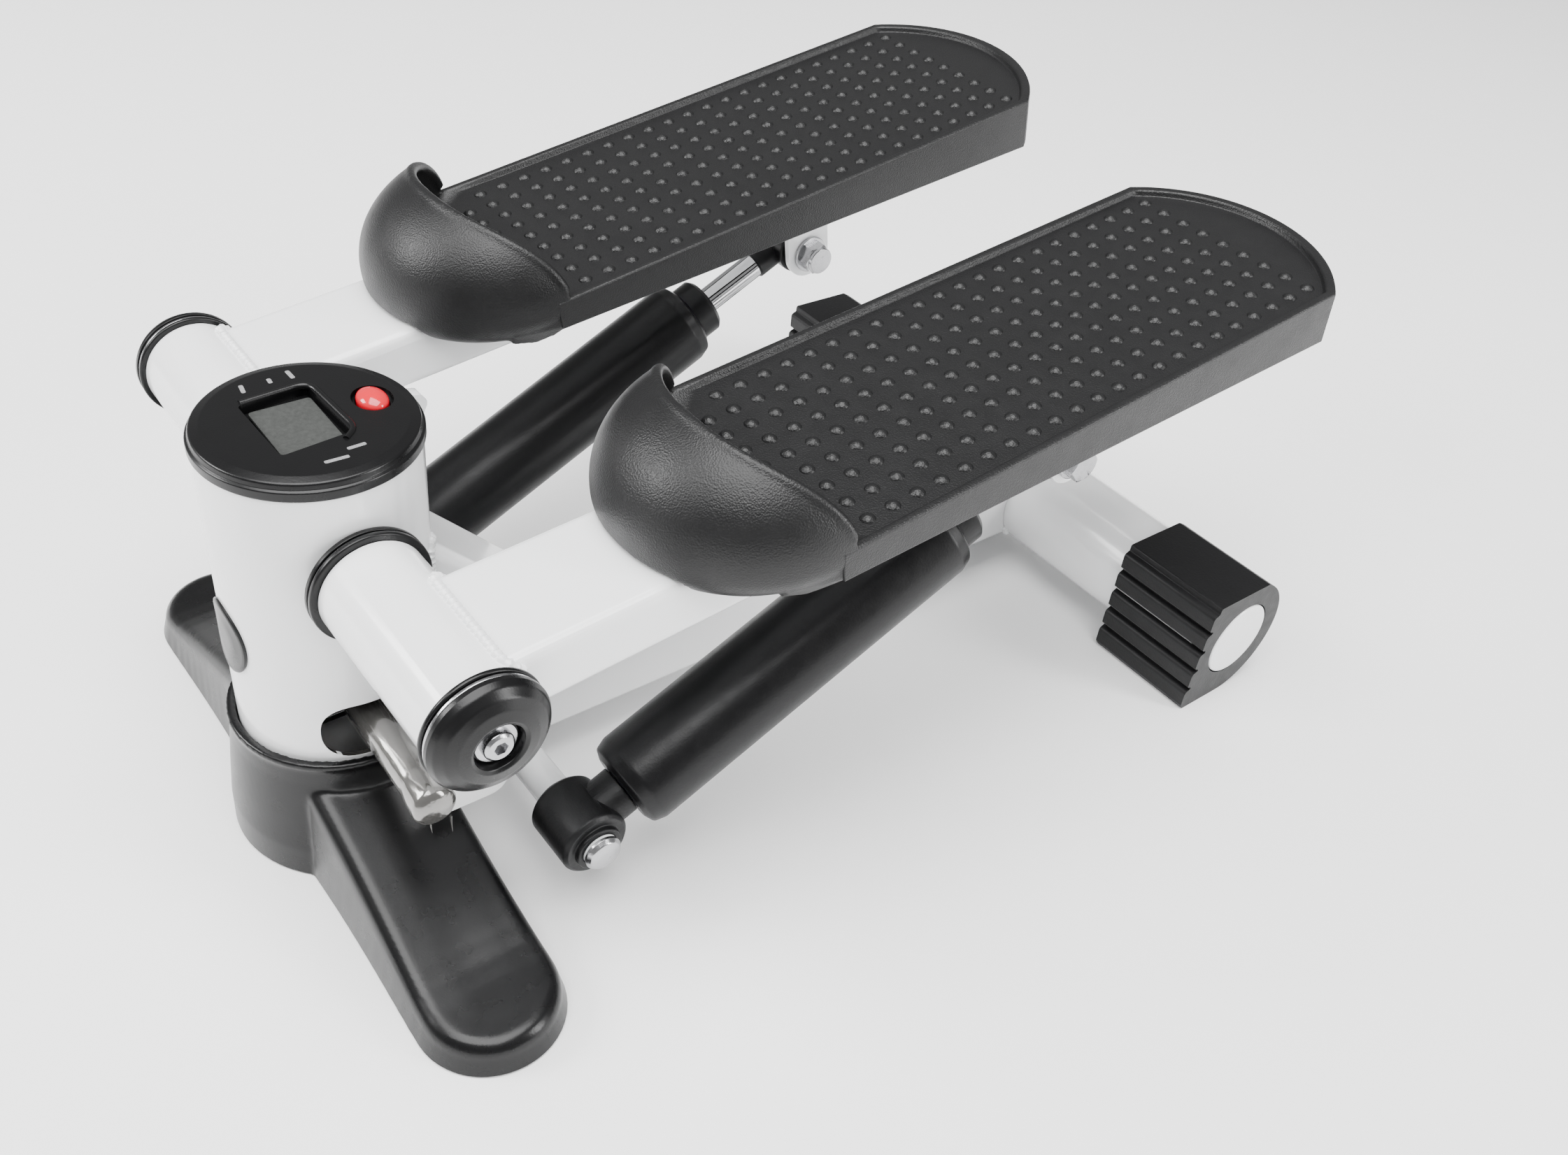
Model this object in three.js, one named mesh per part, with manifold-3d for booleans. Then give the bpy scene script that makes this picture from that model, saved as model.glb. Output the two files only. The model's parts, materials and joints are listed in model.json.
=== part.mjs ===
// Mini stepper: a round column on a low frame, two pedal arms on one cross axle,
// two hydraulic cylinders and a greased rocker bar that makes the pedals alternate.
// Millimetres, +Z up. The column stands at the front (-Y), the pedals reach back (+Y),
// and the left pedal is at +X.

import * as THREE from 'three';
import { mergeVertices } from 'three/addons/utils/BufferGeometryUtils.js';
import Module from 'manifold-3d';

const wasm = await Module();
wasm.setup();

// ---------------------------------------------------------------- driving dimensions

const GAP = 0.3; // clearance between pieces that touch

const COLUMN_R = 38;
const COLUMN_WALL = 2;
const COLUMN_BOTTOM = 10.3;
const COLUMN_TOP = 175.7;

const AXLE_Z = 139.6;
const AXLE_R = 12;
const PIVOT_TUBE_R = 19.4;
const PIVOT_TUBE_WALL = 2;
const PIVOT_TUBE_IN = 43.8; // inner and outer ends of each pivot tube
const PIVOT_TUBE_OUT = 117.7;

const LEFT_TILT = 7.73; // pedal angles above level, as the machine stands
const RIGHT_TILT = 10.14;
const LEVEL_TILT = (LEFT_TILT + RIGHT_TILT) / 2; // where both pedals are equally high

const ARM_X = 90;
const ARM_WIDTH = 50;
const ARM_HEIGHT = 25;
const ARM_WALL = 2;
const ARM_END = 305;
const ARM_MID = 2.7; // the arm's centre line above the axle
const ARM_SLOPE = -2; // the arm against the pedal's plane, in degrees

const PEDAL_X = 88.5;
const PEDAL_HALF = 55.5;
const PEDAL_RIM = 20.1; // height of the rim's plane above the axle
const PEDAL_FLOOR = 17.6;
const PEDAL_HEEL = 377;
const PEDAL_HEEL_R = 68;
const PEDAL_TOE = 128; // where the tray meets the toe cup
const CUP_DEPTH = 58.5;
const CUP_WIDEST = 16.5; // height at which the cup is widest
const CUP_UP = 40.3;
const CUP_DOWN = 22.5;
const CUP_POWER = 2.12;
const CUP_LIP = 101; // the lip sweeps from here in the middle back to the tray's corners
const CUP_BOTTOM = -3.5;
const CUP_WALL = 3;
const SKIRT_TOE = 8; // height of the skirt's lower edge at toe and heel
const SKIRT_HEEL = -3.5;

const CYLINDER_X = 91;
const EYE_Y = 52.9; // lower cross rod, through the beam
const EYE_Z = 34.7;
const ROD_R = 7.2;
const CLEVIS_Y = 277.1; // clevis pin, in the pedal's own frame
const CLEVIS_H = -40.1;
const BARREL_R = 19.5;
const BARREL_START = 21; // along the cylinder, from the lower eye's centre
const BARREL_END = 190;
const GLAND_END = 201;
const PISTON_ROD_R = 6.1;

const BEAM_WIDTH = 50;
const BEAM_HEIGHT = 40;
const BEAM_BOTTOM = 14.3;
const BRACE_WIDTH = 45;
const BRACE_DEPTH = 25;
const REAR_Y = 375.5;
const REAR_Z = 32.6;
const REAR_R = 25.4;
const FOOT_IN = 102.7;
const FOOT_OUT = 158;

const ROCKER_Z = 71;
const ROCKER_R = 7.7;
const ROCKER_REACH = 88;
const CRANK_X = 65;
const ROCKER_RATIO = 1.06; // rocker turn for each unit of arm turn

const CONSOLE_R = 38.9;
const CONSOLE_TOP = 183.2;
const BUTTON_Y = 24;
const BUTTON_X = -1;

const LEG_CENTRE_Y = -4;
const LEG_HALF = 27;
const LEG_END = 151;
const COLLAR_R = 46; // at the floor
const COLLAR_TOP = 58;

const FOOT_BACK_R = 32.1; // the rear feet's round back
const FOOT_BACK_Y = REAR_Y - 2.5; // its centre
const COLUMN_TO_CENTRE = (FOOT_BACK_Y + FOOT_BACK_R - COLLAR_R) / 2; // to the base's middle

// ---------------------------------------------------------------- materials

const finish = (color, roughness, metalness) =>
  new THREE.MeshStandardMaterial({ color, roughness, metalness });
const WHITE_PAINT = finish(0xf1f2f3, 0.25, 0.1);
const BLACK_PLASTIC = finish(0x1b1b1c, 0.45, 0);
const PEDAL_PLASTIC = finish(0x333334, 0.6, 0);
const BLACK_PAINT = finish(0x121213, 0.5, 0.2);
const RUBBER = finish(0x101010, 0.85, 0);
const STEEL = finish(0xb9bbbd, 0.3, 1);
const CHROME = finish(0xe2e4e6, 0.08, 1);
const LCD_GLASS = finish(0x4a4d4c, 0.15, 0);
const RED_PLASTIC = finish(0xd8262c, 0.2, 0);
const BOARD_GREEN = finish(0x1d5c34, 0.5, 0);

// ---------------------------------------------------------------- solids

// A closed three.js geometry as a solid, with its faces turned outwards.
function solid(geometry) {
  const bare = geometry.index ? geometry.toNonIndexed() : geometry.clone();
  for (const name of Object.keys(bare.attributes)) {
    if (name !== 'position') bare.deleteAttribute(name);
  }
  const merged = mergeVertices(bare, 1e-4);
  const p = merged.attributes.position;
  const kept = [];
  let volume = 0;
  const corner = (i) => new THREE.Vector3().fromBufferAttribute(p, i);
  for (let i = 0; i < merged.index.count; i += 3) {
    const [a, b, c] = [0, 1, 2].map((k) => merged.index.getX(i + k));
    if (a === b || b === c || c === a) continue;
    kept.push(a, b, c);
    volume += corner(a).dot(corner(b).cross(corner(c)));
  }
  if (volume < 0) kept.reverse();
  return new wasm.Manifold(new wasm.Mesh({
    numProp: 3,
    vertProperties: new Float32Array(p.array),
    triVerts: new Uint32Array(kept),
  }));
}

const join = (...parts) => parts.map(asSolid).reduce((a, b) => a.add(b));
const cut = (base, ...tools) => tools.map(asSolid).reduce((a, b) => a.subtract(b), asSolid(base));
const common = (a, b) => asSolid(a).intersect(asSolid(b));
const asSolid = (thing) => (thing.isBufferGeometry ? solid(thing) : thing);

// A named mesh of a solid; side -1 mirrors it across the machine's middle plane.
function mesh(name, thing, material, side = 1) {
  const data = asSolid(thing).getMesh();
  const geometry = new THREE.BufferGeometry();
  geometry.setAttribute('position', new THREE.BufferAttribute(data.vertProperties, 3));
  geometry.setIndex(new THREE.BufferAttribute(data.triVerts, 1));
  if (side < 0) {
    geometry.scale(-1, 1, 1);
    geometry.index.array.reverse();
  }
  const made = new THREE.Mesh(geometry, material);
  made.name = name;
  return made;
}

const degrees = THREE.MathUtils.degToRad;

// A block between two corners.
function block([x0, y0, z0], [x1, y1, z1]) {
  return new THREE.BoxGeometry(x1 - x0, y1 - y0, z1 - z0)
    .translate((x0 + x1) / 2, (y0 + y1) / 2, (z0 + z1) / 2);
}

// A turned piece about Y, from [radius, y] pairs; alongX and alongZ lay it on another axis.
function turned(profile, segments = 20) {
  return new THREE.LatheGeometry(profile.map(([r, y]) => new THREE.Vector2(r, y)), segments);
}
const alongX = (geometry) => geometry.rotateZ(-Math.PI / 2);
const alongZ = (geometry) => geometry.rotateX(Math.PI / 2);

const rodProfile = (r, from, to) => [[0, from], [r, from], [r, to], [0, to]];
const ringProfile = (inner, outer, from, to) =>
  [[inner, from], [outer, from], [outer, to], [inner, to], [inner, from]];

// A flat outline in the Y-Z plane, drawn out along X.
function outlineAlongX(shape, from, to, curveSegments = 8) {
  return new THREE.ExtrudeGeometry(shape, { depth: to - from, bevelEnabled: false, curveSegments })
    .rotateX(Math.PI / 2)
    .rotateZ(Math.PI / 2)
    .translate(from, 0, 0);
}

// A flat outline in the X-Z plane, drawn out along Y.
function outlineAlongY(shape, from, to, curveSegments = 8, steps = 1) {
  return new THREE.ExtrudeGeometry(shape, { depth: to - from, bevelEnabled: false, curveSegments, steps })
    .rotateX(Math.PI / 2)
    .translate(0, to, 0);
}

// A flat outline in the X-Y plane, drawn out along Z.
function outlineAlongZ(shape, from, to, curveSegments = 8) {
  return new THREE.ExtrudeGeometry(shape, { depth: to - from, bevelEnabled: false, curveSegments })
    .translate(0, 0, from);
}

function roundedRectangle(width, height, radius, cx = 0, cy = 0) {
  const [x0, x1, y0, y1] = [cx - width / 2, cx + width / 2, cy - height / 2, cy + height / 2];
  const shape = new THREE.Shape();
  shape.moveTo(x0 + radius, y0);
  shape.lineTo(x1 - radius, y0);
  shape.absarc(x1 - radius, y0 + radius, radius, -Math.PI / 2, 0);
  shape.absarc(x1 - radius, y1 - radius, radius, 0, Math.PI / 2);
  shape.absarc(x0 + radius, y1 - radius, radius, Math.PI / 2, Math.PI);
  shape.absarc(x0 + radius, y0 + radius, radius, Math.PI, Math.PI * 1.5);
  shape.closePath();
  return shape;
}

function oval(halfX, halfY, cx = 0, cy = 0) {
  const shape = new THREE.Shape();
  shape.absellipse(cx, cy, halfX, halfY, 0, Math.PI * 2);
  return shape;
}

function polygon(points) {
  return new THREE.Shape(points.map(([x, y]) => new THREE.Vector2(x, y)));
}

// Moves every corner of a geometry through a function of its place.
function warp(geometry, place) {
  const p = geometry.attributes.position;
  for (let i = 0; i < p.count; i += 1) {
    p.setXYZ(i, ...place(p.getX(i), p.getY(i), p.getZ(i)));
  }
  return geometry;
}

// ---------------------------------------------------------------- column and frame

function column() {
  const tube = alongZ(turned(
    ringProfile(COLUMN_R - COLUMN_WALL, COLUMN_R, COLUMN_BOTTOM, COLUMN_TOP), 32));
  const axleHole = alongX(turned(rodProfile(AXLE_R + GAP, -60, 60))).translate(0, 0, AXLE_Z);
  const slot = outlineAlongX(roundedRectangle(41, 25, 12.4, 0, ROCKER_Z), -60, 60, 4);
  return cut(tube, axleHole, slot);
}

// A rectangular tube along Y, open at both ends.
function boxTube(width, height, wall, radius, from, to, cz) {
  const shape = roundedRectangle(width, height, radius, 0, cz);
  shape.holes.push(roundedRectangle(width - 2 * wall, height - 2 * wall, radius - wall / 2, 0, cz));
  return outlineAlongY(shape, from, to, 3);
}

const columnSpace = () => alongZ(turned(rodProfile(COLUMN_R + GAP, 0, 200), 32));
const rearTubeSpace = () =>
  alongX(turned(rodProfile(REAR_R + GAP, -200, 200), 28)).translate(0, REAR_Y, REAR_Z);

function frameBeam() {
  const middle = BEAM_BOTTOM + BEAM_HEIGHT / 2;
  const tube = boxTube(BEAM_WIDTH, BEAM_HEIGHT, 2, 4, 20, REAR_Y, middle);
  const rodHole = alongX(turned(rodProfile(ROD_R + GAP, -60, 60))).translate(0, EYE_Y, EYE_Z);
  return cut(tube, columnSpace(), rearTubeSpace(), rodHole);
}

// The brace slopes down at 45 degrees from behind the column to the beam's top.
function frameBrace() {
  const top = 164; // y + z on the brace's upper face
  const drop = BRACE_DEPTH * Math.SQRT1_2;
  const half = BRACE_DEPTH / 2;
  const tube = boxTube(BRACE_WIDTH, BRACE_DEPTH, 2, 4, -90, 90, 0)
    .rotateX(-Math.PI / 4)
    .translate(0, top / 2 - drop / 2, top / 2 - drop / 2);
  const belowBeam = block([-half * 4, 0, -60], [half * 4, 220, BEAM_BOTTOM + BEAM_HEIGHT + GAP]);
  const aheadOfColumn = block([-60, -60, 60], [60, 20, 240]);
  return cut(tube, columnSpace(), belowBeam, aheadOfColumn);
}

function rearCrossTube() {
  return alongX(turned(ringProfile(REAR_R - 2, REAR_R, -150, 150), 28)).translate(0, REAR_Y, REAR_Z);
}

// D-shaped end cap: five ribs down the front face, flat top, round back.
function rearFoot(side) {
  const front = REAR_Y - 28.6;
  const top = 61.5;
  const ribs = 5;
  const pitch = (top - 4) / ribs;
  const shape = new THREE.Shape();
  shape.moveTo(front + 1.5, 0);
  for (let i = 0; i < ribs; i += 1) {
    const z = 2 + i * pitch;
    const y = front - 0.5 + (i / ribs) * 1.5;
    shape.lineTo(y + 0.2, z + 1);
    shape.lineTo(y, z + pitch - 2.4);
    shape.lineTo(y + 2.2, z + pitch - 1.2);
    shape.lineTo(y + 2.2, z + pitch);
  }
  shape.lineTo(front + 4, top);
  shape.lineTo(REAR_Y + 11, top);
  const start = Math.acos((REAR_Y + 11 - FOOT_BACK_Y) / FOOT_BACK_R);
  shape.absarc(FOOT_BACK_Y, FOOT_BACK_R, FOOT_BACK_R, start, -Math.PI / 2, true);
  const inner = Math.min(side * FOOT_IN, side * FOOT_OUT);
  const body = outlineAlongX(shape, inner, inner + FOOT_OUT - FOOT_IN, 9);
  const socket = alongX(turned(rodProfile(REAR_R + GAP, -151, 151), 28)).translate(0, REAR_Y, REAR_Z);
  const plugHole = alongX(turned(rodProfile(19.6, -200, 200), 20)).translate(0, REAR_Y, REAR_Z);
  return cut(body, socket, plugHole);
}

function rearPlug(side) {
  const profile = [[0, 146], [19.2, 146], [19.2, FOOT_OUT - 1], [18, FOOT_OUT + 0.4], [0, FOOT_OUT + 0.4]];
  const plug = alongX(turned(profile));
  if (side < 0) plug.rotateZ(Math.PI);
  return plug.translate(0, REAR_Y, REAR_Z);
}

// ---------------------------------------------------------------- base cover

// One leg of the cover: a section with rounded top edges, sloping down to a round end.
function coverLeg(side, shrink) {
  const width = LEG_HALF - shrink;
  const shape = new THREE.Shape();
  shape.moveTo(-1.08, 0);
  shape.lineTo(-0.99, 0.74);
  shape.bezierCurveTo(-0.98, 0.92, -0.94, 1, -0.76, 1);
  shape.lineTo(0.76, 1);
  shape.bezierCurveTo(0.94, 1, 0.98, 0.92, 0.99, 0.74);
  shape.lineTo(1.08, 0);
  shape.closePath();
  const reach = LEG_END - shrink;
  const leg = new THREE.ExtrudeGeometry(shape, {
    depth: 1, steps: 9, bevelEnabled: false, curveSegments: 3,
  }).rotateX(Math.PI / 2).rotateZ(Math.PI / 2);
  return warp(leg, (t, across, up) => {
    const s = Math.sin((t * Math.PI) / 2); // closer steps towards the round end
    const x = s * reach;
    const slope = Math.max(14.5, 58 - 0.37 * x);
    const tip = Math.max(0, (x - (reach - LEG_HALF)) / LEG_HALF);
    const plan = Math.sqrt(Math.max(0.02, 1 - tip * tip));
    const waist = 1 - 0.06 * Math.sin(Math.min(1, x / 120) * Math.PI);
    const height = (slope - shrink) * (0.45 + 0.55 * Math.sqrt(Math.max(0.02, 1 - tip ** 4)));
    const z = shrink ? up * height - 1 : 1 + up * (height - 1);
    return [side * x, LEG_CENTRE_Y + across * width * plan * waist, z];
  });
}

function baseCover() {
  const skin = 2.5;
  const outer = alongZ(turned([
    [0, 1], [COLLAR_R, 1], [45.6, 14], [44, 30], [42, 48], [41.6, COLLAR_TOP - 3], [42.2, COLLAR_TOP - 2],
    [42.2, COLLAR_TOP], [0, COLLAR_TOP],
  ], 32));
  const inner = alongZ(turned([
    [0, -1], [COLLAR_R - skin, -1], [45.6 - skin, 14], [44 - skin, 30], [42 - skin, 48],
    [COLUMN_R + GAP + 0.2, 50], [COLUMN_R + GAP + 0.2, COLLAR_TOP + 1], [0, COLLAR_TOP + 1],
  ], 32));
  const shell = cut(
    join(outer, coverLeg(1, 0), coverLeg(-1, 0)),
    inner, coverLeg(1, skin), coverLeg(-1, skin));
  const half = BEAM_WIDTH / 2 + 1;
  const notch = block([-half, 10, -1], [half, 80, BEAM_BOTTOM + BEAM_HEIGHT + 1]);
  const clearColumn = alongZ(turned(rodProfile(COLUMN_R + GAP + 0.2, 5, 100), 32));
  return cut(shell, notch, clearColumn);
}

const frontBaseBar = () => block([-128, -20, 4], [128, 12, 10]);

const frontPad = (side) =>
  outlineAlongZ(roundedRectangle(24, 34, 5, side * 112, LEG_CENTRE_Y), 0, 4 - GAP, 3);

// ---------------------------------------------------------------- rocker inside the column

function rockerBar() {
  const half = ROCKER_REACH;
  const bar = alongX(turned([
    [0, -half], [6, -half], [ROCKER_R + 0.6, -half + 3], [ROCKER_R + 0.6, -half + 10],
    [ROCKER_R, -half + 13], [ROCKER_R, half - 13], [ROCKER_R + 0.6, half - 10],
    [ROCKER_R + 0.6, half - 3], [6, half], [0, half],
  ], 20));
  return cut(bar, alongZ(turned(rodProfile(4 + GAP, -20, 20), 20)));
}

// A strap frame welded across the column: the rocker's pin stands between its two plates.
function rockerSupport() {
  const top = 86;
  const bottom = 56;
  const strap = cut(
    block([-13, -40, bottom], [13, 40, top]),
    block([-20, -30, bottom + 3], [20, 30, top - 3]),
    alongZ(turned(rodProfile(4 + GAP, 40, 100), 20)));
  return common(strap, alongZ(turned(rodProfile(COLUMN_R - COLUMN_WALL - GAP, 50, 90), 32)));
}

const rockerPin = () => alongZ(turned([
  [0, 53], [6, 53], [6, 55.6], [4, 55.6], [4, 89], [3.4, 90], [0, 90]], 20));

const stepMagnet = () =>
  block([18, -3, ROCKER_R + GAP], [26, 3, ROCKER_R + GAP + 3]);
const stepSensor = () => cut(
  block([16, -6, 88], [COLUMN_R, 6, 96]),
  cut(
    alongZ(turned(rodProfile(60, 60, 120), 48)),
    alongZ(turned(rodProfile(COLUMN_R - COLUMN_WALL - GAP, 50, 130), 48))));

// ---------------------------------------------------------------- pivot

function pivotAxle() {
  const end = 119;
  const bar = alongX(turned(rodProfile(AXLE_R, -end, end)));
  const thread = alongX(turned(rodProfile(4.2, end - 24, end + 1), 20));
  const otherThread = alongX(turned(rodProfile(4.2, -end - 1, 24 - end), 20));
  return cut(bar, thread, otherThread);
}

// Flanged plastic bush: a sleeve inside the pivot tube and a flange against its end.
function bush(flangeR, flange, sleeve) {
  const tubeIn = PIVOT_TUBE_R - PIVOT_TUBE_WALL - GAP;
  return alongX(turned([
    [AXLE_R + GAP, -flange], [flangeR, -flange], [flangeR, -GAP], [tubeIn, -GAP],
    [tubeIn, sleeve], [AXLE_R + GAP, sleeve], [AXLE_R + GAP, -flange],
  ]));
}

// Domed end cap with a round crater for the bolt's head; x runs outwards from the axle's end.
const endCap = () => alongX(turned([
  [4.5, 0], [21.3, 0], [21.3, 1.8], [20.2, 4], [17.6, 6.4], [14, 8.1], [10, 8.9],
  [8.7, 8.2], [8, 4.6], [4.5, 4.6], [4.5, 0],
]));

// Button-head bolt with a hexagon socket.
function capBolt() {
  const bolt = alongX(turned([
    [0, -20], [3.8, -20], [3.8, 4.9], [7.4, 4.9], [7.4, 5.9], [5.4, 5.9], [5.3, 7.8], [4.2, 8.8], [0, 8.8],
  ], 24));
  const socket = alongX(new THREE.CylinderGeometry(2.5, 2.5, 5, 6)).translate(9.1, 0, 0);
  return cut(bolt, socket);
}

// ---------------------------------------------------------------- arm group

const armTurn = (geometry) => geometry.rotateX(degrees(ARM_SLOPE));

function armTubeSolid(grow, x = ARM_X) {
  const shape = roundedRectangle(ARM_WIDTH + 2 * grow, ARM_HEIGHT + 2 * grow, 5, x, ARM_MID);
  return solid(armTurn(outlineAlongY(shape, 2 - grow, ARM_END + grow, 3)));
}

function arm() {
  const wall = ARM_WALL;
  const tube = alongX(turned(rodProfile(PIVOT_TUBE_R, PIVOT_TUBE_IN, PIVOT_TUBE_OUT), 28));
  const bore = alongX(turned(
    rodProfile(PIVOT_TUBE_R - PIVOT_TUBE_WALL, PIVOT_TUBE_IN - 1, PIVOT_TUBE_OUT + 1), 28));
  const hollowShape = roundedRectangle(
    ARM_WIDTH - 2 * wall, ARM_HEIGHT - 2 * wall, 4, ARM_X, ARM_MID);
  const hollow = armTurn(outlineAlongY(hollowShape, PIVOT_TUBE_R + 1, ARM_END + 1, 3));
  return cut(cut(join(tube, armTubeSolid(0)), hollow), bore);
}

// Crank plate welded under the pivot tube; the rocker bar pushes on its front edge.
function crankPlate() {
  const half = 3;
  const front = ROCKER_R + 1.1;
  const bottom = -95;
  const shape = new THREE.Shape();
  shape.moveTo(front, bottom);
  shape.lineTo(30, bottom);
  shape.quadraticCurveTo(36, bottom, 37, bottom + 8);
  shape.quadraticCurveTo(44, -55, 66, -22);
  shape.quadraticCurveTo(73, -11, 70, -4);
  shape.lineTo(22, 6);
  shape.lineTo(8, -10);
  shape.closePath();
  const plate = outlineAlongX(shape, CRANK_X - half, CRANK_X + half, 5);
  const pivot = alongX(turned(rodProfile(PIVOT_TUBE_R + GAP, 0, 150), 28));
  plate.rotateX(degrees(-LEVEL_TILT));
  return cut(plate, pivot, armTubeSolid(GAP));
}

// U-bracket under the arm that holds the cylinder's upper eye.
function clevis() {
  const plateR = 12;
  const outer = 16.5;
  const inner = 13.3;
  const high = CLEVIS_H + 22;
  const shape = new THREE.Shape();
  shape.moveTo(CLEVIS_Y - plateR, high);
  shape.absarc(CLEVIS_Y, CLEVIS_H, plateR, Math.PI, Math.PI * 2);
  shape.lineTo(CLEVIS_Y + plateR, high);
  shape.closePath();
  const body = outlineAlongX(shape, ARM_X - outer, ARM_X + outer, 10);
  const slot = block(
    [ARM_X - inner, CLEVIS_Y - 20, CLEVIS_H - 20], [ARM_X + inner, CLEVIS_Y + 20, CLEVIS_H + 15.5]);
  const hole = alongX(turned(rodProfile(4 + GAP, 40, 140), 24)).translate(0, CLEVIS_Y, CLEVIS_H);
  return cut(body, slot, hole, armTubeSolid(GAP));
}

const atClevis = (geometry) => geometry.translate(ARM_X, CLEVIS_Y, CLEVIS_H);
const hexagon = (from, to) =>
  alongX(new THREE.CylinderGeometry(7.5, 7.5, to - from, 6)).translate((from + to) / 2, 0, 0);

function clevisBolt() {
  const shank = alongX(turned([
    [0, -25], [4, -25], [4, 16.8], [8.8, 16.8], [8.8, 18.4], [0, 18.4]]));
  return join(atClevis(shank), atClevis(hexagon(18.3, 23.6)));
}

function clevisNut() {
  const washer = alongX(turned(ringProfile(4 + GAP, 8.8, -18.4, -16.8)));
  const collar = alongX(turned(rodProfile(6.4, -26.2, -24)));
  const hole = alongX(turned(rodProfile(4 + GAP, -25.4, -10)));
  return cut(join(atClevis(washer), atClevis(hexagon(-24.3, -18.3)), atClevis(collar)), atClevis(hole));
}

// ---------------------------------------------------------------- pedal

const skirtEdge = (y) =>
  SKIRT_TOE + ((SKIRT_HEEL - SKIRT_TOE) * (y - PEDAL_TOE + 8)) / (PEDAL_HEEL - PEDAL_TOE + 8);

// The tray's outline from the toe to the arched heel, inset by a given amount.
function trayOutline(inset, toe) {
  const half = PEDAL_HALF - inset;
  const arcR = PEDAL_HEEL_R - inset;
  const spread = Math.asin(half / arcR);
  const cornerY = PEDAL_HEEL - inset * 0.6;
  const cy = cornerY - arcR * Math.cos(spread);
  const shape = new THREE.Shape();
  shape.moveTo(-half, toe);
  shape.lineTo(half, toe);
  shape.lineTo(half, cornerY);
  shape.absarc(0, cy, arcR, Math.PI / 2 - spread, Math.PI / 2 + spread);
  shape.closePath();
  return shape;
}

// Rounded bowl of the toe cup, inset by the wall where the foot goes.
function cupBowl(inset) {
  const ball = new THREE.SphereGeometry(1, 20, 12);
  return warp(ball, (x, y, z) => {
    const r = (Math.abs(x) ** CUP_POWER + Math.abs(y) ** CUP_POWER + Math.abs(z) ** CUP_POWER)
      ** (-1 / CUP_POWER);
    const up = z > 0 ? CUP_UP : CUP_DOWN;
    return [
      x * r * (PEDAL_HALF - inset),
      PEDAL_TOE + y * r * (CUP_DEPTH - inset),
      CUP_WIDEST + z * r * (up - inset),
    ];
  });
}

// The cup's lip seen from above: it sweeps back towards both corners of the tray.
function lipLine(x) {
  const share = Math.min(1, Math.abs(x) / (PEDAL_HALF - 1.5));
  return CUP_LIP + (PEDAL_TOE - CUP_LIP) * share ** 2.3;
}

function toeCup() {
  const wide = PEDAL_HALF + 10;
  const low = -30;
  const lipPlan = [[wide, 0], [-wide, 0]];
  for (let k = -wide; k <= wide; k += 5.039) lipPlan.push([k, lipLine(k)]);
  const aheadOfLip = outlineAlongZ(polygon([...lipPlan, [wide, PEDAL_TOE]]), CUP_BOTTOM, 120);
  const base = outlineAlongX(polygon([
    [0, CUP_BOTTOM], [PEDAL_TOE - 5.6, CUP_BOTTOM], [PEDAL_TOE - 5.6, 16], [PEDAL_TOE + 4, 16],
    [PEDAL_TOE, PEDAL_RIM], [0, PEDAL_RIM]]), -wide, wide);
  const aheadOfTray = join(
    block([-wide, 0, low], [wide, PEDAL_TOE - 5.6, 120]),
    block([-wide, PEDAL_TOE - 6, 16], [wide, PEDAL_TOE + 5, 120]));
  const bowl = common(common(cupBowl(0), join(aheadOfLip, base)), aheadOfTray);
  const hollow = common(cupBowl(CUP_WALL), join(
    block([-wide, 0, PEDAL_FLOOR], [wide, PEDAL_TOE + 4.1, 120]),
    block([-wide, 0, low], [wide, PEDAL_TOE - 5, PEDAL_FLOOR - 2.6])));
  return [bowl, hollow];
}

function pedal() {
  const low = -30;
  const tray = outlineAlongZ(trayOutline(0, PEDAL_TOE - 6), low, PEDAL_RIM, 12);
  const well = outlineAlongZ(trayOutline(4, PEDAL_TOE + 4), PEDAL_FLOOR, 120, 12);
  const under = outlineAlongZ(trayOutline(2.5, PEDAL_TOE - 7), low - 1, PEDAL_FLOOR - 2.6, 12);
  const wide = PEDAL_HALF + 10;
  const aboveEdge = outlineAlongX(polygon([
    [0, skirtEdge(0)], [500, skirtEdge(500)], [500, 200], [0, 200]]), -wide, wide);
  const ribs = [-18, 18].map((x) =>
    block([x - 1.5, PEDAL_TOE, -12], [x + 1.5, PEDAL_HEEL - 90, PEDAL_FLOOR - 1]));
  const [bowl, hollow] = toeCup();
  const skirt = common(join(cut(tray, under), ...ribs), aboveEdge);
  return cut(join(skirt, bowl), well, hollow, armTubeSolid(0.8, ARM_X - PEDAL_X));
}

// ---------------------------------------------------------------- cylinder, along its own +Y

function lowerEye() {
  const eye = alongX(turned([
    [ROD_R + GAP, -15.5], [9.6, -15.5], [9.6, -13], [12.5, -13], [14, -11.5], [14, 11.5],
    [12.5, 13], [9.6, 13], [9.6, 15.5], [ROD_R + GAP, 15.5], [ROD_R + GAP, -15.5],
  ]));
  const neck = turned(rodProfile(10, 9, BARREL_START - GAP), 24);
  const bore = alongX(turned(rodProfile(ROD_R + GAP, -20, 20)));
  return cut(join(eye, neck), bore);
}

const barrel = () => turned([
  [0, BARREL_START], [14, BARREL_START], [17.9, BARREL_START + 1.6], [BARREL_R, BARREL_START + 5.5],
  [BARREL_R, BARREL_END - 6], [18, BARREL_END - 2], [14.5, BARREL_END], [13.8, BARREL_END],
  [13.8, BARREL_END - 3.5], [16.5, BARREL_END - 3.5], [16.5, BARREL_START + 6], [0, BARREL_START + 6],
], 24);

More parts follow.
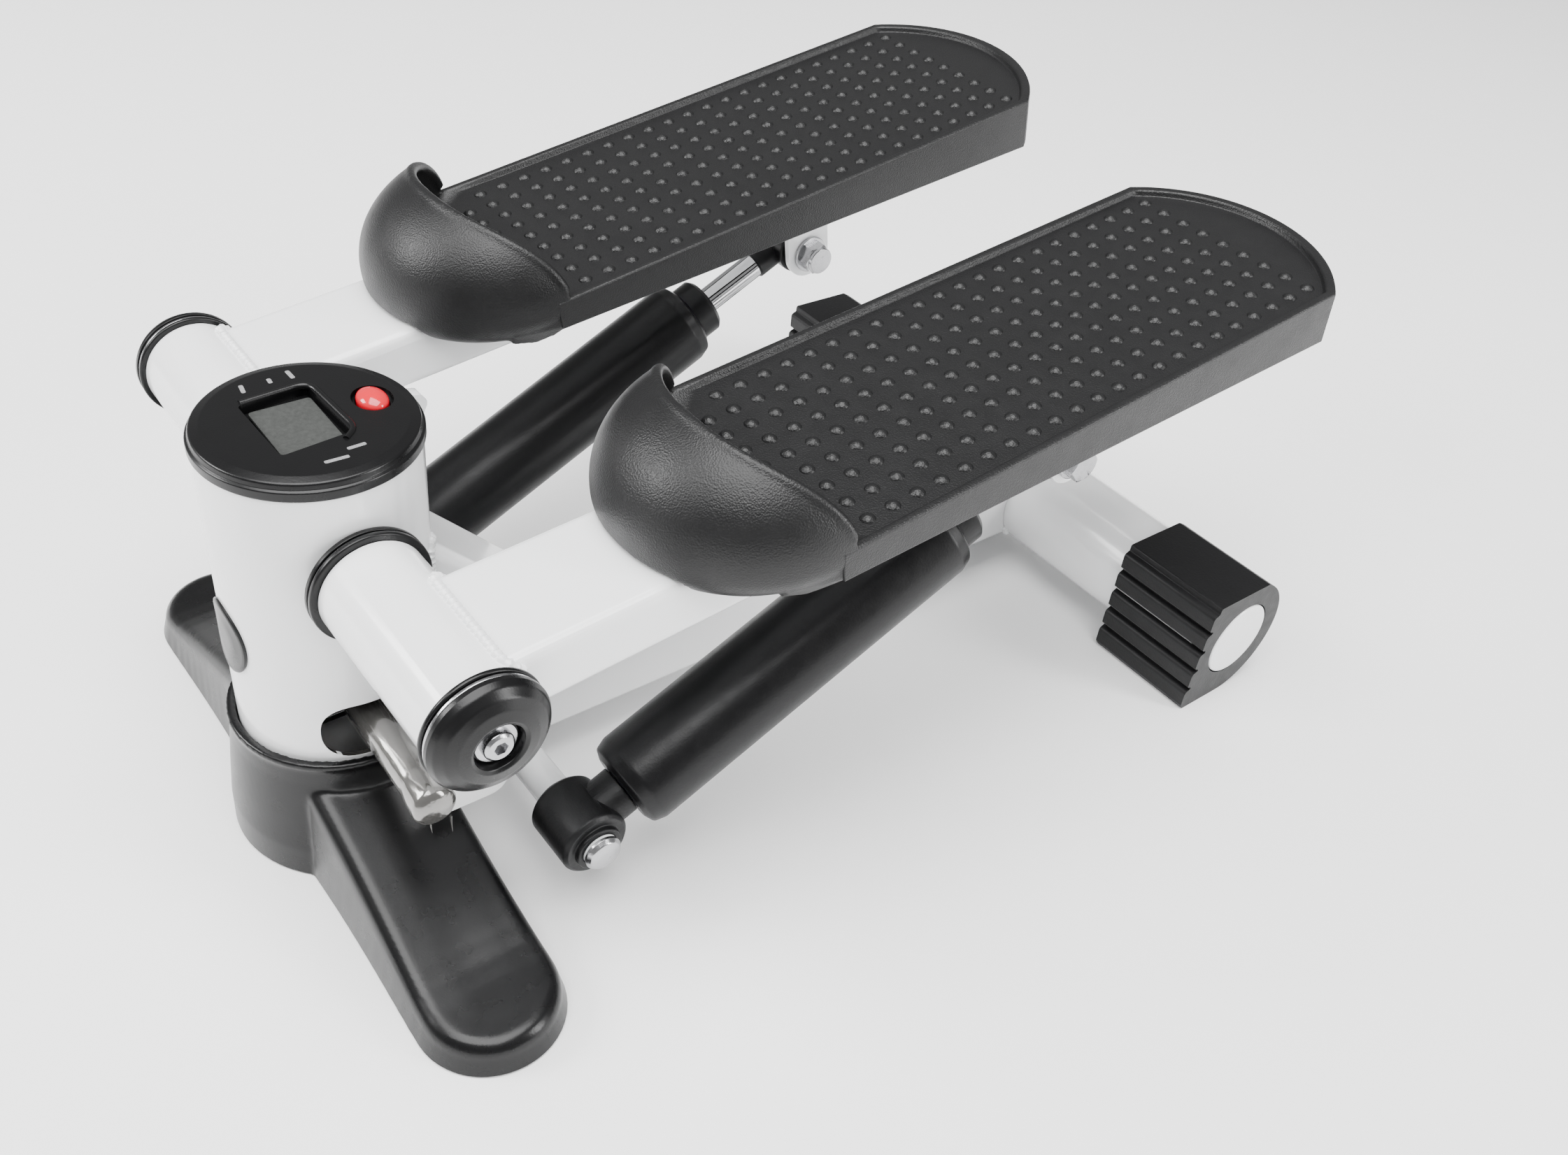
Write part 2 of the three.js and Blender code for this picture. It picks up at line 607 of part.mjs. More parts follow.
const gland = () => turned([
  [PISTON_ROD_R + GAP, 172], [16.2, 172], [16.2, BARREL_END - 3.8], [13.5, BARREL_END - 3.8],
  [13.5, GLAND_END - 2], [12, GLAND_END], [PISTON_ROD_R + GAP, GLAND_END], [PISTON_ROD_R + GAP, 172],
]);

// Distances along the rod are measured back from the clevis pin.
const PISTON_BACK = 184;
const SOCKET_BACK = 22;
const pistonRod = (pin) => turned([
  [0, pin - PISTON_BACK], [16, pin - PISTON_BACK], [16, pin - PISTON_BACK + 9],
  [PISTON_ROD_R, pin - PISTON_BACK + 9], [PISTON_ROD_R, pin - SOCKET_BACK - GAP],
  [0, pin - SOCKET_BACK - GAP],
], 20);

function rodEye(pin) {
  const eye = alongX(turned(rodProfile(12.5, -11.5, 11.5))).translate(0, pin, 0);
  const socket = turned(rodProfile(7, pin - SOCKET_BACK, pin - 6), 24);
  const bore = alongX(turned(rodProfile(7.1, -20, 20), 24)).translate(0, pin, 0);
  return cut(join(eye, socket), bore);
}

function lowerCrossRod() {
  const end = CYLINDER_X + 16.2;
  return alongX(turned(rodProfile(ROD_R, -end, end), 24)).translate(0, EYE_Y, EYE_Z);
}

function pushCap(side) {
  const from = CYLINDER_X + 16.5;
  const cap = alongX(turned([
    [0, from], [7.6, from], [7.6, from + 1.2], [6.4, from + 2.8], [3.5, from + 3.8], [0, from + 4]]));
  if (side < 0) cap.rotateZ(Math.PI);
  return cap.translate(0, EYE_Y, EYE_Z);
}

// ---------------------------------------------------------------- console and badge

function consoleHousing() {
  const shell = alongZ(turned([
    [32, COLUMN_TOP - 12], [COLUMN_R - COLUMN_WALL - GAP, COLUMN_TOP - 12],
    [COLUMN_R - COLUMN_WALL - GAP, COLUMN_TOP + GAP], [CONSOLE_R, COLUMN_TOP + GAP],
    [CONSOLE_R, CONSOLE_TOP - 3.4], [CONSOLE_R - 0.8, CONSOLE_TOP - 2.6],
    [CONSOLE_R - 1.6, CONSOLE_TOP - 1.2], [CONSOLE_R - 5, CONSOLE_TOP], [0, CONSOLE_TOP],
    [0, CONSOLE_TOP - 6], [32, CONSOLE_TOP - 6], [32, COLUMN_TOP - 12],
  ], 32));
  const pocket = outlineAlongZ(roundedRectangle(31, 23, 2, 0, -3.5), CONSOLE_TOP - 4, 200, 3);
  const sight = outlineAlongZ(roundedRectangle(24, 17, 1, 0, -4), 160, 200, 3);
  const buttonDish = outlineAlongZ(oval(8.2, 7, BUTTON_X, BUTTON_Y), CONSOLE_TOP - 2, 200, 8);
  const buttonHole = outlineAlongZ(oval(7.4, 5.7, BUTTON_X, BUTTON_Y), 160, 200, 8);
  return cut(shell, pocket, sight, buttonDish, buttonHole);
}

const displayWindow = () => outlineAlongZ(
  roundedRectangle(30, 22, 1.6, 0, -3.5), CONSOLE_TOP - 4 + GAP, CONSOLE_TOP - 2.4, 3);

function resetButton() {
  const stem = outlineAlongZ(oval(7.05, 5.35, BUTTON_X, BUTTON_Y), COLUMN_TOP - 3, CONSOLE_TOP - 0.5, 8);
  const dome = new THREE.SphereGeometry(1, 16, 8)
    .scale(7.05, 5.35, 2.6)
    .translate(BUTTON_X, BUTTON_Y, CONSOLE_TOP - 0.5);
  const flange = outlineAlongZ(
    oval(7.9, 6.6, BUTTON_X, BUTTON_Y), CONSOLE_TOP - 8, CONSOLE_TOP - 6 - GAP, 8);
  return join(stem, dome, flange);
}

const circuitBoard = () => alongZ(turned(rodProfile(31.6, 166, 167.6), 32));

function badge() {
  const skin = cut(
    alongZ(turned(rodProfile(COLUMN_R + GAP + 1.2, 80, 130), 64)),
    alongZ(turned(rodProfile(COLUMN_R + GAP, 70, 140), 64)));
  return common(skin, outlineAlongY(oval(13, 15, 0, 103), -60, 0, 16));
}

// ---------------------------------------------------------------- assembly

const machine = new THREE.Group();
machine.name = 'stepper';
machine.position.y = -COLUMN_TO_CENTRE;

const sideName = (side) => (side > 0 ? 'left' : 'right');

machine.add(
  mesh('column', column(), WHITE_PAINT),
  mesh('frame_beam', frameBeam(), WHITE_PAINT),
  mesh('frame_brace', frameBrace(), WHITE_PAINT),
  mesh('rear_cross_tube', rearCrossTube(), WHITE_PAINT),
  mesh('front_base_cover', baseCover(), BLACK_PLASTIC),
  mesh('front_base_bar', frontBaseBar(), WHITE_PAINT),
  mesh('front_badge', badge(), BLACK_PLASTIC),
  mesh('console_housing', consoleHousing(), BLACK_PLASTIC),
  mesh('display_window', displayWindow(), LCD_GLASS),
  mesh('reset_button', resetButton(), RED_PLASTIC),
  mesh('circuit_board', circuitBoard(), BOARD_GREEN),
  mesh('rocker_support', rockerSupport(), STEEL),
  mesh('rocker_pin', rockerPin(), STEEL),
  mesh('step_sensor', stepSensor(), BLACK_PLASTIC),
  mesh('lower_cross_rod', lowerCrossRod(), WHITE_PAINT),
);

// The rocker bar turns about the column's axis, level with the two crank plates.
const rocker = new THREE.Group();
rocker.position.z = ROCKER_Z;
rocker.rotation.z = degrees((LEFT_TILT - LEVEL_TILT) * ROCKER_RATIO);
rocker.add(mesh('rocker_bar', rockerBar(), STEEL), mesh('step_magnet', stepMagnet(), STEEL));
machine.add(rocker);

const pivot = new THREE.Group();
pivot.position.z = AXLE_Z;
pivot.add(mesh('pivot_axle', pivotAxle(), STEEL));
machine.add(pivot);

// A group for pieces made on the +X side; half a turn about Z puts round pieces on the -X side.
function sideGroup(side, x, z = 0) {
  const group = new THREE.Group();
  group.position.set(side * x, 0, z);
  if (side < 0) group.rotation.z = Math.PI;
  return group;
}

// Where the clevis pin stands for a pedal angle, in the column's Y-Z plane.
function clevisPin(tilt) {
  const a = degrees(tilt);
  return new THREE.Vector2(
    CLEVIS_Y * Math.cos(a) - CLEVIS_H * Math.sin(a),
    AXLE_Z + CLEVIS_Y * Math.sin(a) + CLEVIS_H * Math.cos(a));
}

for (const side of [1, -1]) {
  const name = sideName(side);
  const tilt = side > 0 ? LEFT_TILT : RIGHT_TILT;
  const label = (piece) => `${name}_${piece}`;

  machine.add(
    mesh(label('rear_foot'), rearFoot(side), RUBBER),
    mesh(label('rear_plug'), rearPlug(side), WHITE_PAINT),
    mesh(label('front_pad'), frontPad(side), RUBBER),
    mesh(label('push_cap'), pushCap(side), STEEL),
  );

  // Bushes, washers and caps on the axle, from the column outwards.
  const innerWasher = sideGroup(side, COLUMN_R + 0.7, AXLE_Z);
  innerWasher.add(mesh(label('thrust_washer'),
    alongX(turned(ringProfile(AXLE_R + GAP, 22, 0, 1.9))), BLACK_PLASTIC));
  const innerBush = sideGroup(side, PIVOT_TUBE_IN, AXLE_Z);
  innerBush.add(mesh(label('inner_bush'), bush(22, 2.7, 18), BLACK_PLASTIC));
  const outerBush = sideGroup(-side, -PIVOT_TUBE_OUT, AXLE_Z);
  outerBush.add(mesh(label('outer_bush'), bush(21.5, 2.2, 18), BLACK_PLASTIC));
  const rim = sideGroup(side, PIVOT_TUBE_OUT + 2.6, AXLE_Z);
  rim.add(mesh(label('end_washer'), alongX(turned(ringProfile(4.5, 20.9, 0, 1.4))), STEEL));
  const cap = sideGroup(side, PIVOT_TUBE_OUT + 4.3, AXLE_Z);
  cap.add(
    mesh(label('end_cap'), endCap(), BLACK_PLASTIC),
    mesh(label('cap_bolt'), capBolt(), STEEL));
  machine.add(innerWasher, innerBush, outerBush, rim, cap);

  // The arm and everything bolted to it turn about the axle.
  const armGroup = new THREE.Group();
  armGroup.position.z = AXLE_Z;
  armGroup.rotation.x = degrees(tilt);
  armGroup.add(
    mesh(label('arm'), arm(), WHITE_PAINT, side),
    mesh(label('crank_plate'), crankPlate(), WHITE_PAINT, side),
    mesh(label('clevis'), clevis(), WHITE_PAINT, side),
    mesh(label('clevis_bolt'), clevisBolt(), STEEL, side),
    mesh(label('clevis_nut'), clevisNut(), STEEL, side),
  );
  const pedalGroup = new THREE.Group();
  pedalGroup.position.x = side * PEDAL_X;
  pedalGroup.add(mesh(label('pedal'), pedal(), PEDAL_PLASTIC, side));
  armGroup.add(pedalGroup);
  machine.add(armGroup);

  // The cylinder lies between the lower cross rod and the clevis pin.
  const pin = clevisPin(tilt).sub(new THREE.Vector2(EYE_Y, EYE_Z));
  const cylinder = new THREE.Group();
  cylinder.position.set(side * CYLINDER_X, EYE_Y, EYE_Z);
  cylinder.rotation.x = pin.angle();
  cylinder.add(
    mesh(label('lower_eye'), lowerEye(), RUBBER),
    mesh(label('barrel'), barrel(), BLACK_PAINT),
    mesh(label('gland'), gland(), BLACK_PAINT),
    mesh(label('piston_rod'), pistonRod(pin.length()), CHROME),
    mesh(label('rod_eye'), rodEye(pin.length()), BLACK_PAINT),
  );
  machine.add(cylinder);
}

export default machine;
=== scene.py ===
"""Looks of the mini stepper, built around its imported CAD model.

Pieces are made in millimetres in the column's frame: the column's axis is x = y = 0, the floor is
z = 0, the pedals reach towards +Y and the left pedal is at +X. piece() moves them to the row frame.
"""

import json
import math

import bmesh
import bpy
from mathutils import Matrix, Vector, noise


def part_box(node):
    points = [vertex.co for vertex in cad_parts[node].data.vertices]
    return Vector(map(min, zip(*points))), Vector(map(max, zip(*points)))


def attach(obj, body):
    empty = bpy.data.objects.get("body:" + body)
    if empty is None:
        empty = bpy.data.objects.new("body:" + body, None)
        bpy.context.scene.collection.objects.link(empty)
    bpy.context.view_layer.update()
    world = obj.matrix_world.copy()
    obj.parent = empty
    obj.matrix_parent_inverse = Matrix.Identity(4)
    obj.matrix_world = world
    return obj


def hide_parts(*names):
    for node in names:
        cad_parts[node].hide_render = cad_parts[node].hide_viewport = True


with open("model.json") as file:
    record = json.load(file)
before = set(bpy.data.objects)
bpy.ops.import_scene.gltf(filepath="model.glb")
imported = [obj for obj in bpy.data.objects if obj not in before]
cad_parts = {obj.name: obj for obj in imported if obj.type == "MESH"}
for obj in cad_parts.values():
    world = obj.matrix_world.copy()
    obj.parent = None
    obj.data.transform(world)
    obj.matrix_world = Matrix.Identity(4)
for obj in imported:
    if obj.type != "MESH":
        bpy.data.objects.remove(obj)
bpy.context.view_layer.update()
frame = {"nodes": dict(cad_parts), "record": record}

# ------------------------------------------------------------------ dimensions, as in the CAD

COLUMN_R, COLUMN_WALL = 38.0, 2.0
COLUMN_BOTTOM, COLUMN_TOP = 10.3, 175.7
SLOT_WIDTH, SLOT_HEIGHT = 41.0, 25.0
AXLE_Z, AXLE_R = 139.6, 12.0
PIVOT_R, PIVOT_WALL = 19.4, 2.0
PIVOT_IN, PIVOT_OUT = 43.8, 117.7
TILT = {1: 7.73, -1: 10.14}
LEVEL_TILT = (TILT[1] + TILT[-1]) / 2
ARM_X, ARM_WIDTH, ARM_HEIGHT, ARM_END = 90.0, 50.0, 25.0, 305.0
ARM_MID, ARM_SLOPE = 2.7, -2.0
PEDAL_X, PEDAL_HALF, PEDAL_RIM, PEDAL_FLOOR = 88.5, 55.5, 20.1, 17.6
PEDAL_TOE, PEDAL_HEEL, HEEL_R = 128.0, 377.0, 68.0
CUP_DEPTH, CUP_WIDEST, CUP_UP, CUP_DOWN, CUP_POWER, CUP_WALL = 58.5, 16.5, 40.3, 22.5, 2.12, 3.4
CUP_LIP, CUP_BOTTOM = 101.0, -3.5
SKIRT_TOE, SKIRT_HEEL = 8.0, -3.5
STUD_R, STUD_HEIGHT, STUD_ACROSS, STUD_ALONG = 2.9, 1.5, 10.945, 11.1
STUD_FIRST_ROW, STUD_MARGIN = 130.3, 8.5
CYLINDER_X, EYE_Y, EYE_Z, ROD_R = 91.0, 52.9, 34.7, 7.2
CLEVIS_Y, CLEVIS_H = 277.1, -40.1
BARREL_R, BARREL_START, BARREL_END, GLAND_END = 19.5, 21.0, 190.0, 201.0
PISTON_ROD_R, SOCKET_BACK, PISTON_BACK = 6.1, 22.0, 184.0
BEAM_WIDTH, BEAM_HEIGHT, BEAM_BOTTOM = 50.0, 40.0, 14.3
BRACE_WIDTH, BRACE_DEPTH, BRACE_TOP = 45.0, 25.0, 164.0
BRACE_MIDDLE = BRACE_TOP - BRACE_DEPTH * math.sqrt(0.5)
REAR_Y, REAR_Z, REAR_R = 375.5, 32.6, 25.4
FOOT_IN, FOOT_OUT, FOOT_BACK_R, FOOT_TOP, FOOT_RIBS = 102.7, 158.0, 32.1, 61.5, 5
ROCKER_Z, ROCKER_R, ROCKER_REACH, ROCKER_RATIO = 71.0, 7.7, 88.0, 1.06
CRANK_X, CRANK_THICK = 65.0, 6.0
CONSOLE_R, CONSOLE_TOP = 38.9, 183.2
BUTTON = (-1.0, 24.0)
BADGE_Z, BADGE_HALF_WIDTH, BADGE_HALF_HEIGHT = 103.0, 13.0, 15.0
LEG_Y, LEG_HALF, LEG_END = -4.0, 27.0, 151.0
COLLAR_R, COLLAR_TOP = 46.0, 58.0
GAP = 0.3

MM = 0.001
column_low, column_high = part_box("column")
COLUMN_Y = (column_low.y + column_high.y) / 2
TO_ROW = Matrix.Translation((0, COLUMN_Y, 0)) @ Matrix.Scale(MM, 4)
MIRROR = Matrix.Scale(-1, 4, (1, 0, 0))

body_of = {n: b for b, ns in frame["record"]["behaviour"]["bodies"].items() for n in ns}
slot_of = {s["node"]: s["material_slot"] for s in frame["record"]["subparts"]}


def turn(degrees, axis="X"):
    return Matrix.Rotation(math.radians(degrees), 4, axis)


def shift(x=0.0, y=0.0, z=0.0):
    return Matrix.Translation((x, y, z))


# ------------------------------------------------------------------ mesh tools


def rounded(points, steps=5, closed=False):
    """An outline with rounded corners; a point is (x, y) or (x, y, radius)."""
    out, count = [], len(points)
    for i, point in enumerate(points):
        here = Vector(point[:2])
        radius = point[2] if len(point) > 2 else 0
        if radius <= 0 or (not closed and i in (0, count - 1)):
            out.append(tuple(here))
            continue
        back = Vector(points[i - 1][:2]) - here
        ahead = Vector(points[(i + 1) % count][:2]) - here
        half = back.angle(ahead) / 2
        reach = min(radius / math.tan(half), 0.49 * back.length, 0.49 * ahead.length)
        a, b = here + back.normalized() * reach, here + ahead.normalized() * reach
        for k in range(steps + 1):
            t = k / steps
            out.append(tuple(a * (1 - t) ** 2 + here * (2 * t * (1 - t)) + b * t * t))
    return out


def rectangle(width, height, radius, cx=0.0, cy=0.0, steps=6):
    x, y = width / 2, height / 2
    corners = [(cx - x, cy - y), (cx + x, cy - y), (cx + x, cy + y), (cx - x, cy + y)]
    return rounded([(*c, radius) for c in corners], steps, closed=True)


def oval(half_x, half_y, cx=0.0, cy=0.0, sides=48):
    angles = [2 * math.pi * i / sides for i in range(sides)]
    return [(cx + half_x * math.cos(a), cy + half_y * math.sin(a)) for a in angles]


def mesh_of(verts, faces):
    mesh = bpy.data.meshes.new("mesh")
    mesh.from_pydata(verts, [], faces)
    edit = bmesh.new()
    edit.from_mesh(mesh)
    bmesh.ops.remove_doubles(edit, verts=edit.verts, dist=1e-5)
    bmesh.ops.recalc_face_normals(edit, faces=edit.faces)
    edit.to_mesh(mesh)
    edit.free()
    return mesh


def loops_mesh(loops, ring=False, across=False):
    """A skin over loops of equally many points.

    ring joins the last loop to the first; across closes the last loop from side to side, so that
    a curved top stays smooth.
    """
    count = len(loops[0])
    verts = [tuple(p) for loop in loops for p in loop]
    faces = []
    spans = len(loops) if ring else len(loops) - 1
    for i in range(spans):
        a, b = i * count, ((i + 1) % len(loops)) * count
        for j in range(count):
            k = (j + 1) % count
            faces.append((a + j, a + k, b + k, b + j))
    if not ring:
        faces.append(tuple(range(count))[::-1])
        last = (len(loops) - 1) * count
        if across:
            for j in range((count - 1) // 2):
                k = count - 1 - j
                faces.append(tuple(dict.fromkeys(last + v for v in (j, j + 1, k - 1, k))))
        else:
            faces.append(tuple(range(last, last + count)))
    return mesh_of(verts, faces)


PLACE_ON_AXIS = {
    "X": lambda along, u, v: (along, u, v),
    "Y": lambda along, u, v: (v, along, u),
    "Z": lambda along, u, v: (u, v, along),
}


def revolve(profile, axis="X", sides=72, ring=False):
    """A turned piece from (radius, along) pairs about an axis; ring joins the profile's ends."""
    put = PLACE_ON_AXIS[axis]
    angles = [2 * math.pi * j / sides for j in range(sides)]
    loops = [
        [put(along, max(r, 1e-4) * math.cos(a), max(r, 1e-4) * math.sin(a)) for a in angles]
        for r, along in profile
    ]
    return loops_mesh(loops, ring=ring)


def rod(radius, start, end, axis="X", sides=72, edge=0.5):
    profile = [(0, start), (radius, start, edge), (radius, end, edge), (0, end)]
    return revolve(rounded(profile, 3), axis, sides)


def ring(inner, outer, start, end, axis="X", sides=72, edge=0.4):
    profile = [(inner, start, edge), (outer, start, edge), (outer, end, edge), (inner, end, edge)]
    return revolve(rounded(profile, 3, closed=True), axis, sides, ring=True)


OUTLINE_PLACE = {
    "X": lambda along, u, v: (along, u, v),
    "Y": lambda along, u, v: (u, along, v),
    "Z": lambda along, u, v: (u, v, along),
}


def prism(outline, start, end, axis):
    """An outline drawn out along an axis; it lies in the Y-Z, X-Z or X-Y plane."""
    put = OUTLINE_PLACE[axis]
    return loops_mesh([[put(a, u, v) for u, v in outline] for a in (start, end)])


def block(low, high):
    outline = [(low[0], low[1]), (high[0], low[1]), (high[0], high[1]), (low[0], high[1])]
    return prism(outline, low[2], high[2], "Z")


def moved(mesh, matrix):
    mesh.transform(matrix)
    if matrix.determinant() < 0:
        mesh.flip_normals()
    return mesh


def refine(mesh, *steps, others=()):
    """The mesh after a stack of modifiers, each given as its type and settings."""
    holders = []
    for m in (mesh, *others):
        holder = bpy.data.objects.new("holder", m)
        bpy.context.scene.collection.objects.link(holder)
        holders.append(holder)
    for kind, settings in steps:
        modifier = holders[0].modifiers.new(kind, kind)
        for key, value in settings.items():
            setattr(modifier, key, holders[value] if key == "object" else value)
    graph = bpy.context.evaluated_depsgraph_get()
    result = bpy.data.meshes.new_from_object(holders[0].evaluated_get(graph))
    for holder in holders:
        bpy.data.objects.remove(holder)
    return result


def combine(operation, mesh, *others):
    steps = [
        ("BOOLEAN", {"operation": operation, "solver": "EXACT", "object": i + 1})
        for i in range(len(others))
    ]
    return refine(mesh, *steps, others=others)


def cut(mesh, *others):
    return combine("DIFFERENCE", mesh, *others)


def union(mesh, *others):
    return combine("UNION", mesh, *others)


def common(mesh, other):
    return combine("INTERSECT", mesh, other)


def together(*meshes):
    """Several closed meshes as one mesh of separate shells."""
    edit = bmesh.new()
    for m in meshes:
        edit.from_mesh(m)
    result = bpy.data.meshes.new("mesh")
    edit.to_mesh(result)
    edit.free()
    return result


def bevelled(mesh, width=0.6, segments=3, angle=38):
    settings = {
        "width": width,
        "segments": segments,
        "limit_method": "ANGLE",
        "angle_limit": math.radians(angle),
        "use_clamp_overlap": True,
    }
    return refine(mesh, ("BEVEL", settings))


def melted(mesh, voxel, smoothing):
    """The mesh rebuilt on a fine even grid and smoothed, so that its edges and joins are soft."""
    return refine(
        mesh,
        ("REMESH", {"mode": "VOXEL", "voxel_size": voxel}),
        ("SMOOTH", {"factor": 0.5, "iterations": smoothing}),
    )


def bead(path, radius, closed=False, ripple=0.25, pitch=2.2, taper=False):
    """A round bead along a path, for welds, ribs, lips and strings of grease.

    ripple is how much it swells at every pitch, and taper thins it towards its end.
    """
    curve = bpy.data.curves.new("bead", "CURVE")
    curve.dimensions = "3D"
    curve.bevel_depth = radius
    curve.bevel_resolution = 3
    curve.use_fill_caps = not closed
    spline = curve.splines.new("POLY")
    spline.points.add(len(path) - 1)
    spline.use_cyclic_u = closed
    travelled = 0.0
    for i, p in enumerate(path):
        travelled += (Vector(p) - Vector(path[max(i - 1, 0)])).length
        swell = 1 + ripple * math.sin(2 * math.pi * travelled / pitch)
        spline.points[i].co = (*p, 1)
        spline.points[i].radius = swell * (1 - 0.8 * i / len(path) if taper else 1)
    holder = bpy.data.objects.new("holder", curve)
    mesh = bpy.data.meshes.new_from_object(holder)
    bpy.data.objects.remove(holder)
    return mesh


def resampled(points, spacing, closed=True):
    """Points at even steps along a path."""
    out = []
    count = len(points)
    for i in range(count if closed else count - 1):
        a, b = Vector(points[i]), Vector(points[(i + 1) % count])
        steps = max(1, round((b - a).length / spacing))
        out += [tuple(a.lerp(b, k / steps)) for k in range(steps)]
    return out


# ------------------------------------------------------------------ materials


def finish(name, color, roughness, grain, tone=0.12, tone_scale=45, spread=0.08, **sockets):
    """A procedural material: slow tone changes, uneven roughness and a fine relief.

    grain is (kind, scale, strength, distance, stretch) of the relief, in metres.
    """
    material = bpy.data.materials.new(name)
    material.use_nodes = True
    nodes, links = material.node_tree.nodes, material.node_tree.links
    shader = nodes["Principled BSDF"]
    for socket, value in sockets.items():
        shader.inputs[socket.replace("_", " ").title().replace("Ior", "IOR")].default_value = value
    place = nodes.new("ShaderNodeTexCoord")

    slow = nodes.new("ShaderNodeTexNoise")
    slow.inputs["Scale"].default_value = tone_scale
    slow.inputs["Detail"].default_value = 6
    links.new(place.outputs["Object"], slow.inputs["Vector"])
    mix = nodes.new("ShaderNodeMix")
    mix.data_type = "RGBA"
    mix.inputs["A"].default_value = (*[c * (1 - tone) for c in color], 1)
    mix.inputs["B"].default_value = (*[min(1, c * (1 + tone)) for c in color], 1)
    links.new(slow.outputs["Fac"], mix.inputs["Factor"])
    links.new(mix.outputs["Result"], shader.inputs["Base Color"])

    uneven = nodes.new("ShaderNodeTexNoise")
    uneven.inputs["Scale"].default_value = tone_scale * 3.1
    uneven.inputs["Detail"].default_value = 4
    links.new(place.outputs["Object"], uneven.inputs["Vector"])
    span = nodes.new("ShaderNodeMapRange")
    span.inputs["From Min"].default_value = 0.2
    span.inputs["From Max"].default_value = 0.8
    span.inputs["To Min"].default_value = max(0.02, roughness - spread)
    span.inputs["To Max"].default_value = min(1, roughness + spread)
    links.new(uneven.outputs["Fac"], span.inputs["Value"])
    links.new(span.outputs["Result"], shader.inputs["Roughness"])

    kind, scale, strength, distance, stretch = grain
    mapping = nodes.new("ShaderNodeMapping")
    mapping.inputs["Scale"].default_value = stretch
    links.new(place.outputs["Object"], mapping.inputs["Vector"])
    relief = nodes.new("ShaderNodeTexVoronoi" if kind == "pebble" else "ShaderNodeTexNoise")
    relief.inputs["Scale"].default_value = scale
    height = relief.outputs["Distance" if kind == "pebble" else "Fac"]
    links.new(mapping.outputs["Vector"], relief.inputs["Vector"])
    bump = nodes.new("ShaderNodeBump")
    bump.inputs["Strength"].default_value = strength
    bump.inputs["Distance"].default_value = distance
    links.new(height, bump.inputs["Height"])
    links.new(bump.outputs["Normal"], shader.inputs["Normal"])
    return material


EVEN = (1, 1, 1)
finishes = {
    "white_paint": finish(
        "white_paint", (0.86, 0.865, 0.87), 0.2, ("noise", 420, 0.09, 0.0004, EVEN),
        tone=0.025, tone_scale=18, spread=0.05, coat_weight=0.5, coat_roughness=0.1),
    "black_plastic": finish(
        "black_plastic", (0.0035, 0.0035, 0.0038), 0.28, ("noise", 1500, 0.12, 0.0002, EVEN),
        tone=0.06, tone_scale=30, spread=0.03, specular_ior_level=0.3),
    "pedal_plastic": finish(
        "pedal_plastic", (0.0055, 0.0055, 0.0058), 0.4, ("pebble", 1500, 0.35, 0.0003, EVEN),
        tone=0.14, tone_scale=35, spread=0.05, specular_ior_level=0.36),
    "black_paint": finish(
        "black_paint", (0.003, 0.003, 0.0035), 0.36, ("noise", 1100, 0.22, 0.0002, EVEN),
        tone=0.15, tone_scale=60, spread=0.05, specular_ior_level=0.26),
    "rubber": finish(
        "rubber", (0.004, 0.004, 0.0045), 0.45, ("noise", 900, 0.3, 0.0003, EVEN),
        tone=0.12, tone_scale=55, spread=0.06, specular_ior_level=0.3),
    "bright_steel": finish(
        "bright_steel", (0.42, 0.42, 0.43), 0.22, ("noise", 260, 0.18, 0.0002, (1, 6, 6)),
        tone=0.14, tone_scale=120, spread=0.1, metallic=1.0),
    "chrome": finish(
        "chrome", (0.62, 0.62, 0.63), 0.06, ("noise", 150, 0.05, 0.0001, (10, 1, 10)),
        tone=0.05, tone_scale=90, spread=0.04, metallic=1.0),
    "lcd_window": finish(
        "lcd_window", (0.045, 0.047, 0.045), 0.25, ("noise", 900, 0.12, 0.0001, EVEN),
        tone=0.35, tone_scale=700, spread=0.05, specular_ior_level=0.35),
    "red_plastic": finish(
        "red_plastic", (0.62, 0.008, 0.022), 0.14, ("noise", 800, 0.06, 0.0002, EVEN),
        tone=0.08, tone_scale=120, spread=0.05, coat_weight=0.3, coat_roughness=0.05),
    "circuit_board": finish(
        "circuit_board", (0.018, 0.105, 0.045), 0.35, ("pebble", 500, 0.4, 0.0003, EVEN),
        tone=0.35, tone_scale=400, spread=0.1),
}
greased_steel = finish(
    "greased_steel", (0.21, 0.205, 0.195), 0.17, ("noise", 120, 0.5, 0.0008, (0.5, 2.2, 2.2)),
    tone=0.4, tone_scale=70, spread=0.08, metallic=0.75, coat_weight=1.0, coat_roughness=0.05)
weld_steel = finish(
    "painted_weld", (0.80, 0.805, 0.81), 0.26, ("noise", 500, 0.35, 0.0005, EVEN),
    tone=0.06, tone_scale=160, spread=0.1, coat_weight=0.6, coat_roughness=0.1)
# Unpainted steel for the inside of the column tube, made near black as painted shade in the tube's
# hollow.
dark_inner_steel_and_shade = finish(
    "unpainted_steel_and_painted_shade", (0.05, 0.048, 0.045), 0.5, ("noise", 700, 0.3, 0.0003, EVEN),
    tone=0.4, tone_scale=80, spread=0.12, metallic=0.6)
print_ink = finish(
    "printed_marks", (0.22, 0.22, 0.225), 0.45, ("noise", 2000, 0.2, 0.0001, EVEN),
    tone=0.5, tone_scale=900, spread=0.1)


